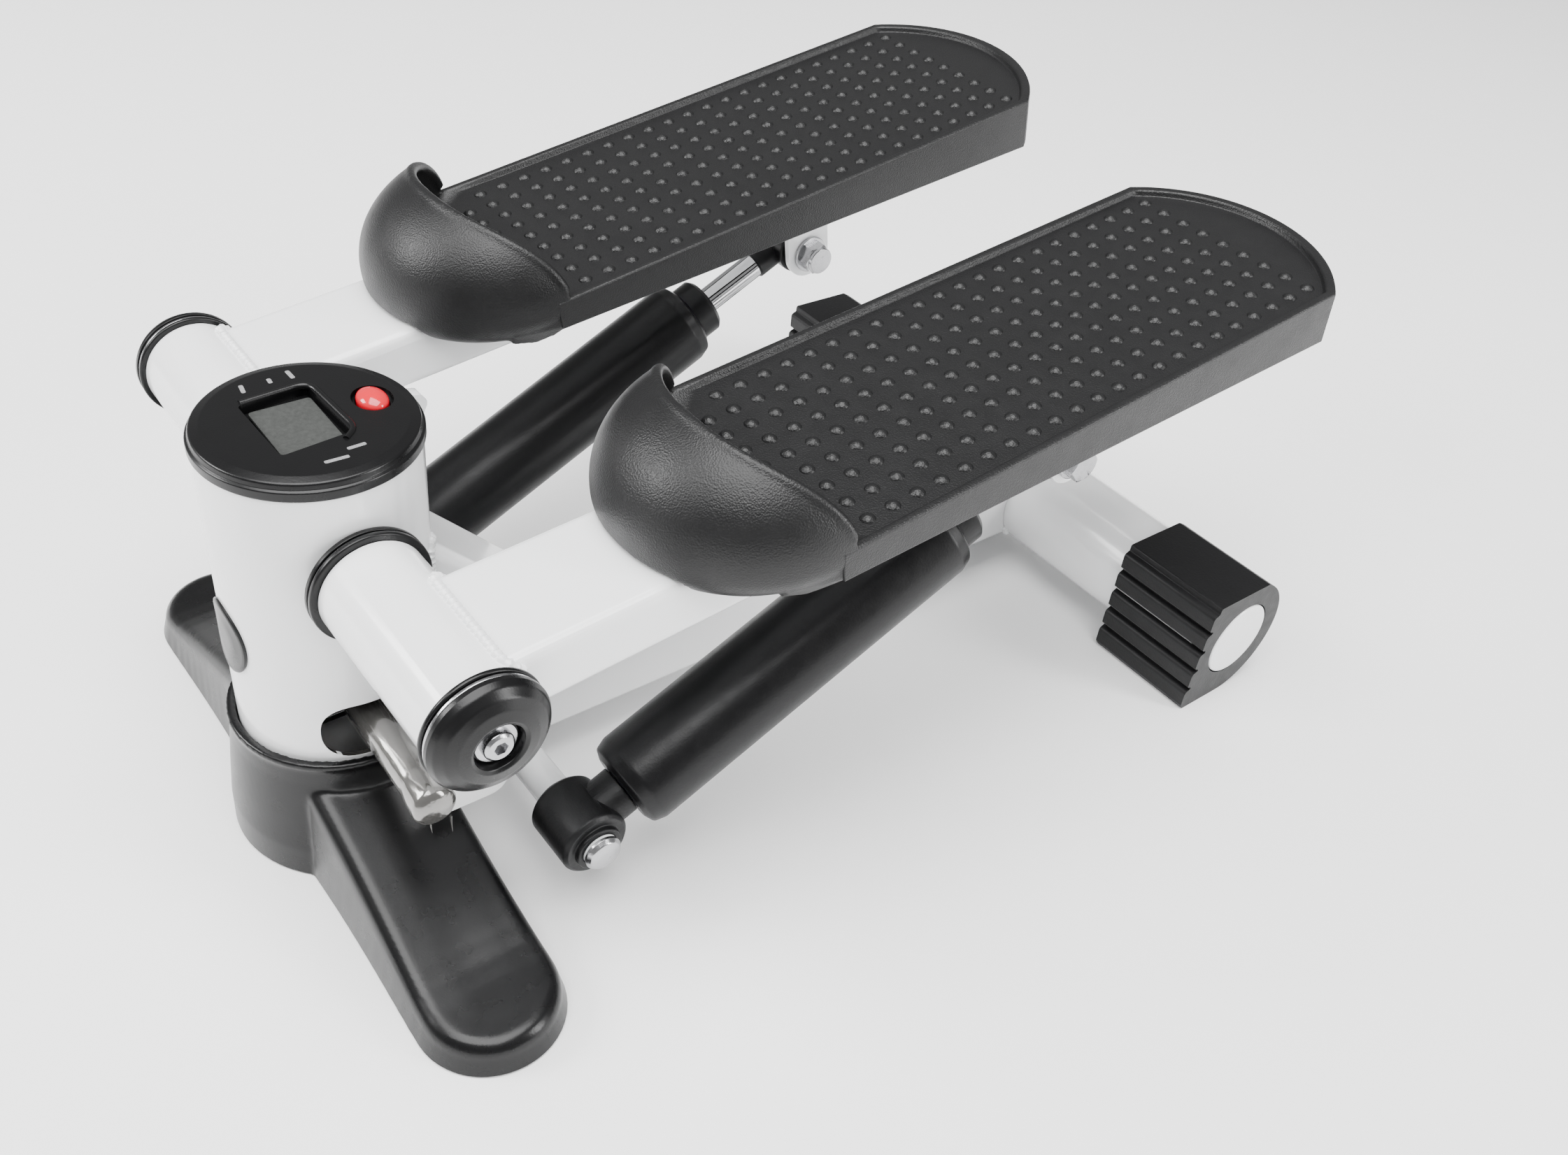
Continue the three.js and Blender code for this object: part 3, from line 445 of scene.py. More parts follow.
def piece(name, mesh, node, matrix=None, material=None, sharp=36, replaces=True):
    """A finished piece in the row frame that rides on its CAD node's body."""
    moved(mesh, TO_ROW @ (matrix or Matrix()))
    mesh.materials.clear()
    mesh.materials.append(material or finishes[slot_of[node]])
    mesh.shade_smooth()
    mesh.set_sharp_from_angle(angle=math.radians(sharp))
    mesh = refine(mesh, ("WEIGHTED_NORMAL", {"weight": 60, "keep_sharp": True}))
    mesh.name = name
    made = bpy.data.objects.new(name, mesh)
    bpy.context.scene.collection.objects.link(made)
    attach(made, body_of[node])
    if replaces:
        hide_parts(node)
    return made


def pair(node, build, place, material=None, suffix="_finished", **options):
    """The left and right pieces of one shape; place gives each side's matrix."""
    shape = build()
    for side, label in ((1, "left"), (-1, "right")):
        name = f"{label}_{node}"
        piece(name + suffix, shape.copy(), name, place(side), material, **options)


# ------------------------------------------------------------------ places of the moving groups


def on_machine(side):
    return MIRROR if side < 0 else Matrix()


def on_axle(side):
    return shift(z=AXLE_Z) @ on_machine(side)


def on_arm(side):
    return shift(z=AXLE_Z) @ turn(TILT[side]) @ on_machine(side)


def on_pedal(side):
    return on_arm(side) @ shift(x=PEDAL_X)


def clevis_pin(side):
    """The clevis pin seen from the lower eye: distance and angle in the Y-Z plane."""
    a = math.radians(TILT[side])
    y = CLEVIS_Y * math.cos(a) - CLEVIS_H * math.sin(a) - EYE_Y
    z = AXLE_Z + CLEVIS_Y * math.sin(a) + CLEVIS_H * math.cos(a) - EYE_Z
    return math.hypot(y, z), math.degrees(math.atan2(z, y))


def on_cylinder(side):
    return on_machine(side) @ shift(CYLINDER_X, EYE_Y, EYE_Z) @ turn(clevis_pin(side)[1])


def on_piston(side):
    return on_cylinder(side) @ shift(y=clevis_pin(side)[0])


def on_clevis(side):
    return on_arm(side) @ shift(ARM_X, CLEVIS_Y, CLEVIS_H)


# ------------------------------------------------------------------ column and frame


def box_tube(width, height, wall, radius, start, end, cz):
    outer, inner = (
        rectangle(width - 2 * w, height - 2 * w, radius - w / 2, 0, cz) for w in (0, wall)
    )
    loops = [[(x, y, z) for x, z in shape] for shape, y in (
        (outer, start), (outer, end), (inner, end), (inner, start))]
    return loops_mesh(loops, ring=True)


def column():
    tube = ring(COLUMN_R - COLUMN_WALL, COLUMN_R, COLUMN_BOTTOM, COLUMN_TOP, "Z", 144)
    outline = rectangle(SLOT_WIDTH, SLOT_HEIGHT, 12.4, 0, ROCKER_Z, steps=10)
    slot = prism(outline, -60, 60, "X")
    return bevelled(cut(tube, slot, rod(AXLE_R + GAP, -60, 60, sides=48)), 0.5, 3, 50)


def column_space():
    return rod(COLUMN_R + GAP, -10, 220, "Z", 144, 0)


def frame_beam():
    tube = box_tube(BEAM_WIDTH, BEAM_HEIGHT, 2, 5, 20, REAR_Y, BEAM_BOTTOM + BEAM_HEIGHT / 2)
    rear = moved(rod(REAR_R + GAP, -200, 200, sides=96, edge=0), shift(0, REAR_Y, REAR_Z))
    hole = moved(rod(ROD_R + GAP, -60, 60, sides=48, edge=0), shift(0, EYE_Y, EYE_Z))
    return cut(tube, column_space(), rear, hole)


def frame_brace():
    tube = box_tube(BRACE_WIDTH, BRACE_DEPTH, 2, 5, -90, 90, 0)
    moved(tube, shift(0, BRACE_MIDDLE / 2, BRACE_MIDDLE / 2) @ turn(-45))
    below = block((-60, 0, -60), (60, 240, BEAM_BOTTOM + BEAM_HEIGHT + GAP))
    ahead = block((-60, -60, 60), (60, 20, 240))
    return cut(tube, column_space(), below, ahead)


def brace_weld():
    """The bead where the brace's upper face and sides meet the column."""
    path = []
    for x, s in rectangle(BRACE_WIDTH + 1, BRACE_DEPTH + 1, 5, 0, 0):
        y = math.sqrt(COLUMN_R**2 - x * x) + 0.4
        path.append((x, y, BRACE_MIDDLE - y + s * math.sqrt(2)))
    return bead(resampled(path, 0.6), 1.5, closed=True)


def rear_weld():
    """The bead where the beam meets the rear cross tube."""
    path = []
    middle = BEAM_BOTTOM + BEAM_HEIGHT / 2
    for x, z in rectangle(BEAM_WIDTH + 1, BEAM_HEIGHT + 1, 5, 0, middle):
        path.append((x, REAR_Y - math.sqrt(REAR_R**2 - (z - REAR_Z) ** 2) - 0.2, z))
    return bead(resampled(path, 0.6), 1.5, closed=True)


def rear_foot():
    """D-shaped end cap with five rounded ribs down its front face."""
    front, groove = REAR_Y - 28.6, 3.2
    pitch = (FOOT_TOP - 4) / FOOT_RIBS
    outline = [(front + 1.5, 0, 1)]
    for i in range(FOOT_RIBS):
        z, y = 2 + i * pitch, front - 0.5 + 1.5 * i / FOOT_RIBS
        outline += [
            (y + 0.2, z + 0.8, 1.5), (y, z + pitch - 2.6, 2.2),
            (y + groove, z + pitch - 1.3, 0.7), (y + groove, z + pitch - 0.2, 0.7)]
    outline += [(front + 4, FOOT_TOP, 1.5)]
    centre, r, steps = REAR_Y - 2.5, FOOT_BACK_R, 40
    start = math.acos((REAR_Y + 11 - centre) / r)
    sweep = start + math.pi / 2
    for k in range(steps + 1):
        a = start - sweep * k / steps
        outline.append((centre + r * math.cos(a), r + r * math.sin(a)))
    body = prism(rounded(outline, 4, closed=True), FOOT_IN, FOOT_OUT, "X")
    socket = moved(rod(REAR_R + GAP, -10, 151, sides=96, edge=0), shift(0, REAR_Y, REAR_Z))
    plug = moved(rod(19.7, -10, 200, sides=96, edge=0), shift(0, REAR_Y, REAR_Z))
    return bevelled(cut(body, socket, plug), 0.9, 3, 42)


def rear_plug():
    profile = [(0, 146), (19.2, 146, 0.4), (19.2, 158.4, 1.4), (15, 158.9), (0, 159.2)]
    return revolve(rounded(profile, 5), "X", 96)


tube = piece("column_tube", column(), "column")
# The column's inner faces take the dark unpainted steel: partly the bare inside of the tube, partly
# painted shade in its hollow.
tube.data.materials.append(dark_inner_steel_and_shade)
for face in tube.data.polygons:
    if math.hypot(face.center.x, face.center.y - COLUMN_Y) < (COLUMN_R - COLUMN_WALL / 2) * MM:
        face.material_index = 1
piece("frame_beam_tube", frame_beam(), "frame_beam")
piece("frame_brace_tube", frame_brace(), "frame_brace")
piece("frame_brace_weld", brace_weld(), "frame_brace", material=weld_steel, replaces=False)
piece("rear_weld_bead", rear_weld(), "frame_beam", material=weld_steel, replaces=False)
piece(
    "rear_tube", ring(REAR_R - 2, REAR_R, -150, 150, "X", 96),
    "rear_cross_tube", shift(0, REAR_Y, REAR_Z))
pair("rear_foot", rear_foot, on_machine)
pair("rear_plug", rear_plug, lambda side: shift(0, REAR_Y, REAR_Z) @ on_machine(side))

# ------------------------------------------------------------------ base cover


def leg_height(x):
    fall = 44.5 - 0.367 * abs(x)
    return 13.5 + (fall + math.sqrt(fall * fall + 16)) / 2


def leg(side, shrink):
    """A leg of the cover: nested outlines that climb its wall and close over its sloping top.

    Each has an inset and a drop below the top. The first, with no drop, is the flared foot. The
    outside has no shrink; for the hollow inside, shrink is the thickness of the skin.
    """
    reach, edge, lowest = LEG_END - LEG_HALF, 6.5, 4.0
    steps = [(-2.0, None)]
    steps += [
        (0.9 + edge * (1 - math.cos(a)), edge * (1 - math.sin(a)))
        for a in (math.radians(9 * k) for k in range(11))
    ]
    steps += [(12.0, -0.25), (17.0, -0.6), (22.0, -0.8)]
    loops = []
    for inset, drop in steps:
        half = LEG_HALF - shrink - inset
        plan = [(reach * i / 16, -half) for i in range(16)]
        plan += [
            (reach + half * math.sin(a), -half * math.cos(a))
            for a in (math.pi * k / 24 for k in range(25))
        ]
        plan += [(reach * (15 - i) / 16, half) for i in range(16)]
        loop = []
        for x, across in plan:
            waist = 1 - 0.06 * math.sin(min(1, x / 120) * math.pi)
            top = leg_height(x) - shrink
            if drop is None:
                z = -4.0 if shrink else -3.0
            elif inset < 1:
                z = max(lowest, top - edge)
            else:
                z = top - min(drop, top - lowest)
            loop.append((side * x, LEG_Y + across * waist, z))
        loops.append(loop)
    return loops_mesh(loops, across=True)


def base_cover():
    skin, bore = 2.5, COLUMN_R + 0.5
    outer = revolve(rounded([
        (0, -3), (COLLAR_R, -3), (45.6, 14), (44, 30, 6), (42, 48, 8), (41.6, COLLAR_TOP - 3, 0.5),
        (42.4, COLLAR_TOP - 1.6, 0.4), (42.2, COLLAR_TOP, 0.5), (0, COLLAR_TOP)], 4), "Z", 128)
    inner = revolve([
        (0, -4), (COLLAR_R - skin, -4), (45.6 - skin, 14), (44 - skin, 30), (42 - skin, 48),
        (bore, 50), (bore, COLLAR_TOP + 1), (0, COLLAR_TOP + 1)], "Z", 128)
    notch = block((-26, 10, -5), (26, 80, BEAM_BOTTOM + BEAM_HEIGHT + 1))
    shell = union(outer, leg(1, 0), leg(-1, 0))
    shell = cut(shell, inner, leg(1, skin), leg(-1, skin), notch)
    soft = melted(cut(shell, rod(bore, 5, 100, "Z", 128, 0)), 1.0, 4)
    below = block((-200, -100, -20), (200, 100, 1))
    return cut(soft, below)


piece("front_base_cover_moulding", base_cover(), "front_base_cover", sharp=60)

# ------------------------------------------------------------------ console and badge

POCKET = [(-16.7, -16.9, 2), (17.4, -15.8, 2), (14.7, 9.4, 2), (-19.4, 8.2, 2)]


def console():
    edge = CONSOLE_R
    tube = COLUMN_R - COLUMN_WALL - GAP
    shell = revolve(rounded([
        (32, COLUMN_TOP - 12), (tube, COLUMN_TOP - 12, 0.5), (tube, COLUMN_TOP + GAP),
        (edge, COLUMN_TOP + GAP, 0.7), (edge, CONSOLE_TOP - 3.6, 0.8),
        (edge - 1.0, CONSOLE_TOP - 3.0, 0.4), (edge - 1.4, CONSOLE_TOP - 0.9, 1.2),
        (edge - 5, CONSOLE_TOP, 3), (edge - 9, CONSOLE_TOP), (0.0, CONSOLE_TOP),
        (0, CONSOLE_TOP - 6), (32, CONSOLE_TOP - 6)], 4, closed=True), "Z", 128, ring=True)
    pocket = prism(rounded(POCKET, 5, closed=True), CONSOLE_TOP - 4, 200, "Z")
    sight = prism(rectangle(24, 17, 1, 0, -4), 160, 200, "Z")
    dish = prism(oval(8.2, 7, *BUTTON), CONSOLE_TOP - 2, 200, "Z")
    hole = prism(oval(7.4, 5.7, *BUTTON), 160, 200, "Z")
    return bevelled(cut(shell, pocket, sight, dish, hole), 0.5, 3, 50)


def bezel_rib():
    """The raised rib that curves round two sides of the display pocket."""
    corner = (-20.4, 9.6)
    path = [(-18.4, -15.5, 4), (*corner, 6), (13.0, 11.6, 9), (18.2, 5.5, 2)]
    flat = rounded(path, 10)
    rail = resampled([(x, y, CONSOLE_TOP - 0.35) for x, y in flat], 0.8, closed=False)
    return bead(rail, 1.25, ripple=0.0)


def printed_marks():
    """Small plain bars where the real console is printed."""
    marks = [(-26.0, -11.5, 5.2, 1.5, -8), (-26.8, -1.6, 3.2, 1.5, -4), (-27.6, 6.0, 5.6, 1.6, 2),
             (23.4, 7.2, 1.6, 6.6, 2), (27.4, -1.4, 1.6, 8.4, -2)]
    bars = []
    for x, y, width, height, spin in marks:
        outline = rectangle(width, height, 0.6, steps=3)
        bar = prism(outline, CONSOLE_TOP - 0.4, CONSOLE_TOP + 0.06, "Z")
        bars.append(moved(bar, shift(x, y) @ turn(spin, "Z")))
    return together(*bars)


def reset_button():
    """An oval button with a domed top."""
    edge, rise = CONSOLE_TOP - 0.8, 3.4
    steps = [(1.0, CONSOLE_TOP - 10), (1.0, edge)]
    steps += [
        (math.cos(a), edge + rise * math.sin(a))
        for a in (math.radians(9 * k) for k in range(1, 10))
    ]
    loops = [[(x, y, z) for x, y in oval(7.05 * scale, 5.35 * scale)] for scale, z in steps]
    return moved(loops_mesh(loops), shift(*BUTTON))


def display():
    pane = prism(rectangle(30, 22, 1.6, 0, -3.5), CONSOLE_TOP - 4 + GAP, CONSOLE_TOP - 2.4, "Z")
    return bevelled(pane, 0.3, 2)


def badge():
    """A domed oval plate wrapped on the front of the column."""
    profile = [
        (1.0, 0.05), (1.0, 0.7), (0.97, 1.1), (0.9, 1.25), (0.86, 1.05), (0.6, 1.15), (0.3, 1.2)]
    loops = []
    for scale, lift in profile:
        radius = COLUMN_R + lift
        outline = oval(BADGE_HALF_WIDTH * scale, BADGE_HALF_HEIGHT * scale, sides=64)
        loops.append([
            (radius * math.sin(u / COLUMN_R), -radius * math.cos(u / COLUMN_R), BADGE_Z + v)
            for u, v in outline
        ])
    return loops_mesh(loops)


piece("console_cap", console(), "console_housing")
piece("console_bezel_rib", bezel_rib(), "console_housing", replaces=False, sharp=80)
piece(
    "console_printed_marks", printed_marks(), "console_housing", material=print_ink,
    replaces=False)
piece("display_pane", display(), "display_window")
piece("reset_button_dome", reset_button(), "reset_button", sharp=50)
piece("front_badge_plate", badge(), "front_badge")

# ------------------------------------------------------------------ rocker


def rocker_bar():
    """The bar that links the cranks, thick with grease towards its ends."""
    half, loops = ROCKER_REACH, []
    stations = [half * (k / 70) for k in range(-70, 71)]
    for x in stations:
        near = max(0.0, 1 - (half - abs(x)) / 16)
        radius = ROCKER_R - 0.3 + 0.9 * math.sin(min(1.0, near * 1.6) * math.pi / 2)
        closing = max(0.0, 1 - (half - abs(x)) / 4.5)
        radius *= math.sqrt(max(0.02, 1 - closing**2))
        loop = []
        for j in range(56):
            a = 2 * math.pi * j / 56
            spot = Vector((x / 11, math.cos(a), math.sin(a)))
            lumps = noise.noise(spot) * (0.15 + 0.7 * near) + noise.noise(spot * 2.7) * 0.12 * near
            r = radius + lumps * (1 - 0.7 * closing)
            loop.append((x, r * math.cos(a), r * math.sin(a)))
        loops.append(loop)
    strings = []
    for side in (1, -1):
        for k, (back, y, length) in enumerate([(4, -2, 7), (8, 3, 5), (2, 5, 9), (12, 1, 4)]):
            x = side * (half - back)
            sway = 0.5 * math.sin(k * 2.3)
            strings.append(bead(
                [(x + sway * t, y + 0.4 * t * t, -ROCKER_R + 1.2 - length * t)
                 for t in (i / 8 for i in range(9))], 0.42, ripple=0, taper=True))
    bar = cut(loops_mesh(loops), rod(4 + GAP, -20, 20, "Z", 40, 0))
    return together(bar, *strings)


rocker_place = shift(z=ROCKER_Z) @ turn((TILT[1] - LEVEL_TILT) * ROCKER_RATIO, "Z")
piece("greased_rocker_bar", rocker_bar(), "rocker_bar", rocker_place, greased_steel, sharp=70)

# ------------------------------------------------------------------ pivot


def bush(flange_r, flange):
    tube = PIVOT_R - PIVOT_WALL - GAP
    return revolve(rounded([
        (AXLE_R + GAP, -flange), (flange_r, -flange, 0.8), (flange_r, -GAP, 0.8), (tube, -GAP),
        (tube, 18, 0.5), (AXLE_R + GAP, 18)], 3, closed=True), "X", 80, ring=True)


def end_cap():
    """Domed cap with a round crater for its bolt."""
    return revolve(rounded([
        (4.5, 0), (21.3, 0, 0.3), (21.3, 1.8, 0.6), (20.2, 4, 3), (17.6, 6.4, 4), (14, 8.1, 4),
        (10, 8.9, 0.9), (8.7, 8.2, 0.7), (8, 4.6, 0.6), (4.5, 4.6)], 5, closed=True),
        "X", 96, ring=True)


def cap_bolt():
    head = revolve(rounded([
        (0, -20), (3.8, -20, 0.4), (3.8, 4.9), (7.4, 4.9, 0.2), (7.4, 5.9, 0.4), (5.4, 5.9),
        (5.3, 7.8, 0.9), (4.2, 8.8, 0.6), (0, 8.8)], 4), "X", 72)
    socket = prism(oval(2.5, 2.5, sides=6), 6.6, 12, "X")
    return cut(head, socket)


pair("thrust_washer", lambda: ring(AXLE_R + GAP, 22, COLUMN_R + 0.7, COLUMN_R + 2.6), on_axle)
pair("inner_bush", lambda: moved(bush(22, 2.7), shift(PIVOT_IN)), on_axle)
pair("outer_bush", lambda: moved(bush(21.5, 2.2), shift(PIVOT_OUT) @ turn(180, "Z")), on_axle)
pair("end_washer", lambda: ring(4.5, 20.9, PIVOT_OUT + 2.6, PIVOT_OUT + 4.0), on_axle)
pair("end_cap", lambda: moved(end_cap(), shift(PIVOT_OUT + 4.3)), on_axle)
pair("cap_bolt", lambda: moved(cap_bolt(), shift(PIVOT_OUT + 4.3)), on_axle)
piece("pivot_axle_bar", rod(AXLE_R, -119, 119, edge=1.0), "pivot_axle", shift(z=AXLE_Z))

# ------------------------------------------------------------------ arms


def arm_box(grow, start, end, x=ARM_X, radius=5.0):
    outline = rectangle(ARM_WIDTH + 2 * grow, ARM_HEIGHT + 2 * grow, radius, x, ARM_MID)
    return moved(prism(outline, start, end, "Y"), turn(ARM_SLOPE))


def arm():
    outer = union(
        rod(PIVOT_R, PIVOT_IN, PIVOT_OUT, sides=96, edge=0), arm_box(0, 2, ARM_END))
    bore = rod(PIVOT_R - PIVOT_WALL, PIVOT_IN - 1, PIVOT_OUT + 1, sides=96, edge=0)
    hollow = arm_box(-2, PIVOT_R + 1, ARM_END + 1, radius=4)
    return bevelled(cut(outer, hollow, bore), 0.5, 2, 50)


def arm_weld():
    """The bead round the arm where it meets the pivot tube."""
    path = []
    for x, h in rectangle(ARM_WIDTH + 0.8, ARM_HEIGHT + 0.8, 5, ARM_X, ARM_MID - 0.4):
        path.append((x, math.sqrt(PIVOT_R**2 - h * h) + 0.5, h))
    return bead(resampled(path, 0.6), 1.9, closed=True, ripple=0.18, pitch=2.6)


def crank_plate():
    front, low = ROCKER_R + 1.1, -95.0
    outline = rounded([
        (front, low, 3), (37, low, 9), (39, -78, 20), (66, -22, 30), (73, -8, 8), (70, -4, 2),
        (22, 6), (8, -10)], 8, closed=True)
    flat = prism(outline, CRANK_X - CRANK_THICK / 2, CRANK_X + CRANK_THICK / 2, "X")
    plate = moved(flat, turn(-LEVEL_TILT))
    tube = rod(PIVOT_R + GAP, 0, 150, sides=96, edge=0)
    return bevelled(cut(plate, tube, arm_box(GAP, 2 - GAP, ARM_END)), 0.6, 2, 50)


def clevis():
    """A fork under the arm: two cheeks with round ends, and the slot between them."""
    high, r, half, gap = CLEVIS_H + 22, 12, 16.5, 13.3
    outline = [(CLEVIS_Y - r, high)]
    outline += [
        (CLEVIS_Y - r * math.cos(a), CLEVIS_H - r * math.sin(a))
        for a in (math.pi * k / 24 for k in range(25))
    ]
    outline += [(CLEVIS_Y + r, high)]
    body = prism(outline, ARM_X - half, ARM_X + half, "X")
    slot = block(
        (ARM_X - gap, CLEVIS_Y - 20, CLEVIS_H - 20),
        (ARM_X + gap, CLEVIS_Y + 20, CLEVIS_H + 15.5))
    hole = moved(rod(4.3, 40, 140, sides=40, edge=0), shift(0, CLEVIS_Y, CLEVIS_H))
    return bevelled(cut(body, slot, hole, arm_box(GAP, 2, ARM_END)), 0.5, 2, 50)


def hexagon_head(start, end, chamfer=1.0):
    """A hexagon with the corners of both faces turned off."""
    turned = revolve([
        (0, start), (6.5, start), (7.6, start + chamfer * 0.6), (7.6, end - chamfer * 0.6),
        (6.5, end), (0, end)], "X", 60)
    return common(prism(oval(7.5, 7.5, sides=6), start, end, "X"), turned)


def clevis_bolt():
    shank = revolve(rounded([
        (0, -25), (3.4, -25), (4, -24.2), (4, 16.8), (8.8, 16.8, 0.2), (8.8, 18.4, 0.5), (0, 18.4)],
        3), "X", 60)
    return union(shank, hexagon_head(18.2, 23.6))


def clevis_nut():
    washer = ring(4.3, 8.8, -18.4, -16.8, sides=60)
    nut = union(hexagon_head(-24.3, -18.2), rod(6.4, -26.2, -24, sides=60))
    return together(washer, cut(nut, rod(4.3, -25.4, -10, sides=40, edge=0)))


pair("arm", arm, on_arm)
pair("arm", arm_weld, on_arm, weld_steel, "_weld_bead", replaces=False)
pair("crank_plate", crank_plate, on_arm)
pair("clevis", clevis, on_arm)
pair("clevis_bolt", clevis_bolt, on_clevis)
pair("clevis_nut", clevis_nut, on_clevis)

# ------------------------------------------------------------------ pedals

TRAY_TOE = PEDAL_TOE - 6


def skirt_edge(y):
    share = (y - PEDAL_TOE + 8) / (PEDAL_HEEL - PEDAL_TOE + 8)
    return SKIRT_TOE + (SKIRT_HEEL - SKIRT_TOE) * share


def heel_arc(inset):
    """Half width, corner, radius and centre of the tray's arched heel."""
    half, radius = PEDAL_HALF - inset, HEEL_R - inset
    corner = PEDAL_HEEL - inset * 0.6
    return half, corner, radius, corner - math.sqrt(radius * radius - half * half)


def tray_loop(inset, height):
    """One outline of the tray; its toe corners are cut off further inside."""
    half, corner, radius, centre = heel_arc(inset)
    chamfer = max(0.5, (inset - 2.6) * 8)
    spread = math.asin(half / radius)
    side = [TRAY_TOE + chamfer + (corner - TRAY_TOE - chamfer) * i / 12 for i in range(12)]
    arc = [spread - 2 * spread * i / 36 for i in range(37)]
    points = [(half - chamfer, TRAY_TOE)]
    points += [(half, y) for y in side]
    points += [(radius * math.sin(a), centre + radius * math.cos(a)) for a in arc]
    points += [(-half, y) for y in reversed(side)]
    points += [(chamfer - half, TRAY_TOE)]
    return [(x, y, height(y)) for x, y in points]


def tray():
    """The tray's skin, from under the tread round its skirt and rim and back to the tread."""
    under = PEDAL_FLOOR - 2.6

    def edge(lift):
        return lambda y: (under - 1.8 if y <= TRAY_TOE else skirt_edge(y)) + lift

    def level(z):
        return lambda y: min(z, PEDAL_FLOOR) if y <= TRAY_TOE else z

    def flat(z):
        return lambda y: z

    return loops_mesh([
        tray_loop(3.5, flat(under)),
        tray_loop(2.5, flat(under - 0.7)),
        tray_loop(2.5, edge(0.4)),
        tray_loop(2.1, edge(0.0)),
        tray_loop(0.6, edge(0.0)),
        tray_loop(0.15, edge(0.2)),
        tray_loop(0.0, edge(0.7)),
        tray_loop(0.0, level(PEDAL_RIM - 1.0)),
        tray_loop(0.25, level(PEDAL_RIM - 0.3)),
        tray_loop(0.9, level(PEDAL_RIM)),
        tray_loop(2.7, level(PEDAL_RIM)),
        tray_loop(3.3, level(PEDAL_RIM - 0.25)),
        tray_loop(3.7, level(PEDAL_RIM - 0.9)),
        tray_loop(4.0, level(PEDAL_FLOOR + 0.4)),
        tray_loop(4.5, level(PEDAL_FLOOR)),
    ])


def studs():
    """Rows of low domes over the tread, up to an even margin from the arched heel."""
    dome_r = (STUD_R**2 + STUD_HEIGHT**2) / (2 * STUD_HEIGHT)
    top = math.asin(STUD_R / dome_r)
    rings = [(STUD_R, -0.3)] + [
        (dome_r * math.sin(a), dome_r * math.cos(a) - dome_r + STUD_HEIGHT)
        for a in (top * k / 4 for k in range(4, -1, -1))
    ]
    radius, centre = heel_arc(STUD_MARGIN)[2:]
    domes = []
    for across in range(-4, 5):
        for row in range(0 if abs(across) < 4 else 1, 30):
            x, y = across * STUD_ACROSS, STUD_FIRST_ROW + row * STUD_ALONG
            if y <= PEDAL_HEEL and (y < centre or math.hypot(x, y - centre) <= radius):
                domes.append(moved(revolve(rings, "Z", 14), shift(x, y, PEDAL_FLOOR)))
    return together(*domes)


def cup_ball(inset):
    """The toe cup's bowl, a rounded box-like ball about its widest point."""
    loops = []
    for i in range(1, 64):
        polar = math.pi * i / 64
        loop = []
        for j in range(112):
            a = 2 * math.pi * j / 112
            x, y, z = math.sin(polar) * math.cos(a), math.cos(polar), math.sin(polar) * math.sin(a)
            total = sum(abs(v) ** CUP_POWER for v in (x, y, z))
            r = total ** (-1 / CUP_POWER)
            up = CUP_UP if z > 0 else CUP_DOWN
            loop.append((
                x * r * (PEDAL_HALF - inset),
                PEDAL_TOE + y * r * (CUP_DEPTH - inset),
                CUP_WIDEST + z * r * (up - inset)))
        loops.append(loop)
    return loops_mesh(loops)


def lip_line(x):
    """The cup's lip seen from above: it sweeps back towards both corners of the tray."""
    share = min(1, abs(x) / (PEDAL_HALF - 1.5))
    return CUP_LIP + (PEDAL_TOE - CUP_LIP) * share**2.3


def rolled_lip():
    """The thick round bead that edges the cup."""
    inset, steps, path = CUP_WALL / 2, 100, []
    for k in range(steps + 1):
        x = (PEDAL_HALF - 2.2) * (1 - 2 * k / steps)
        y = lip_line(x)
        share = 1 - abs(x / (PEDAL_HALF - inset)) ** CUP_POWER
        share -= abs((PEDAL_TOE - y) / (CUP_DEPTH - inset)) ** CUP_POWER
        rise = (CUP_UP - inset) * max(0, share) ** (1 / CUP_POWER)
        path.append((x, y, CUP_WIDEST + rise))
    return bead(path, 2.3, ripple=0)


def corner_blend(side):
    """Fairs the cup into the tray's skirt at one corner."""
    edit = bmesh.new()
    low = skirt_edge(TRAY_TOE)
    for x, y, z in (
        (55.3, 125, low + 0.5), (55.3, 125, 17), (51, 125, low + 0.5), (51, 125, 17),
        (51.5, 108, 17), (49.5, 104, 9), (43, 104, 2), (46, 114, 0), (48, 122, 1.5), (44, 108, 14),
    ):
        edit.verts.new((side * x, y, z))
    bmesh.ops.convex_hull(edit, input=edit.verts)
    bmesh.ops.recalc_face_normals(edit, faces=edit.faces)
    result = bpy.data.meshes.new("blend")
    edit.to_mesh(result)
    edit.free()
    return result


def toe_cup():
    """The hood and its rounded underside, hollowed above and below the tread's level."""
    wide, low, top = PEDAL_HALF + 10, -40, 120
    across = [wide - 2 * wide * k / 80 for k in range(81)]
    plan = [(-wide, 0), (wide, 0)] + [(x, lip_line(x)) for x in across]
    base = [
        (0, CUP_BOTTOM), (PEDAL_TOE - 5.6, CUP_BOTTOM), (PEDAL_TOE - 5.6, 16), (PEDAL_TOE + 2, 16),
        (PEDAL_TOE, PEDAL_RIM), (0, PEDAL_RIM)]
    hood = common(cup_ball(0), prism(plan, PEDAL_RIM - 1, top, "Z"))
    bowl = union(hood, common(cup_ball(0), prism(base, -wide, wide, "X")))
    above = common(cup_ball(CUP_WALL), block((-wide, 0, PEDAL_FLOOR - 0.4), (wide, 133, top)))
    below = common(
        cup_ball(CUP_WALL), block((-wide, 0, low), (wide, PEDAL_TOE - 5, PEDAL_FLOOR - 3)))
    shape = cut(bowl, above, below, arm_box(1.0, 0, 310, ARM_X - PEDAL_X))
    return melted(together(shape, rolled_lip(), corner_blend(1), corner_blend(-1)), 0.8, 6)


def pedal():
    return together(tray(), studs(), toe_cup())


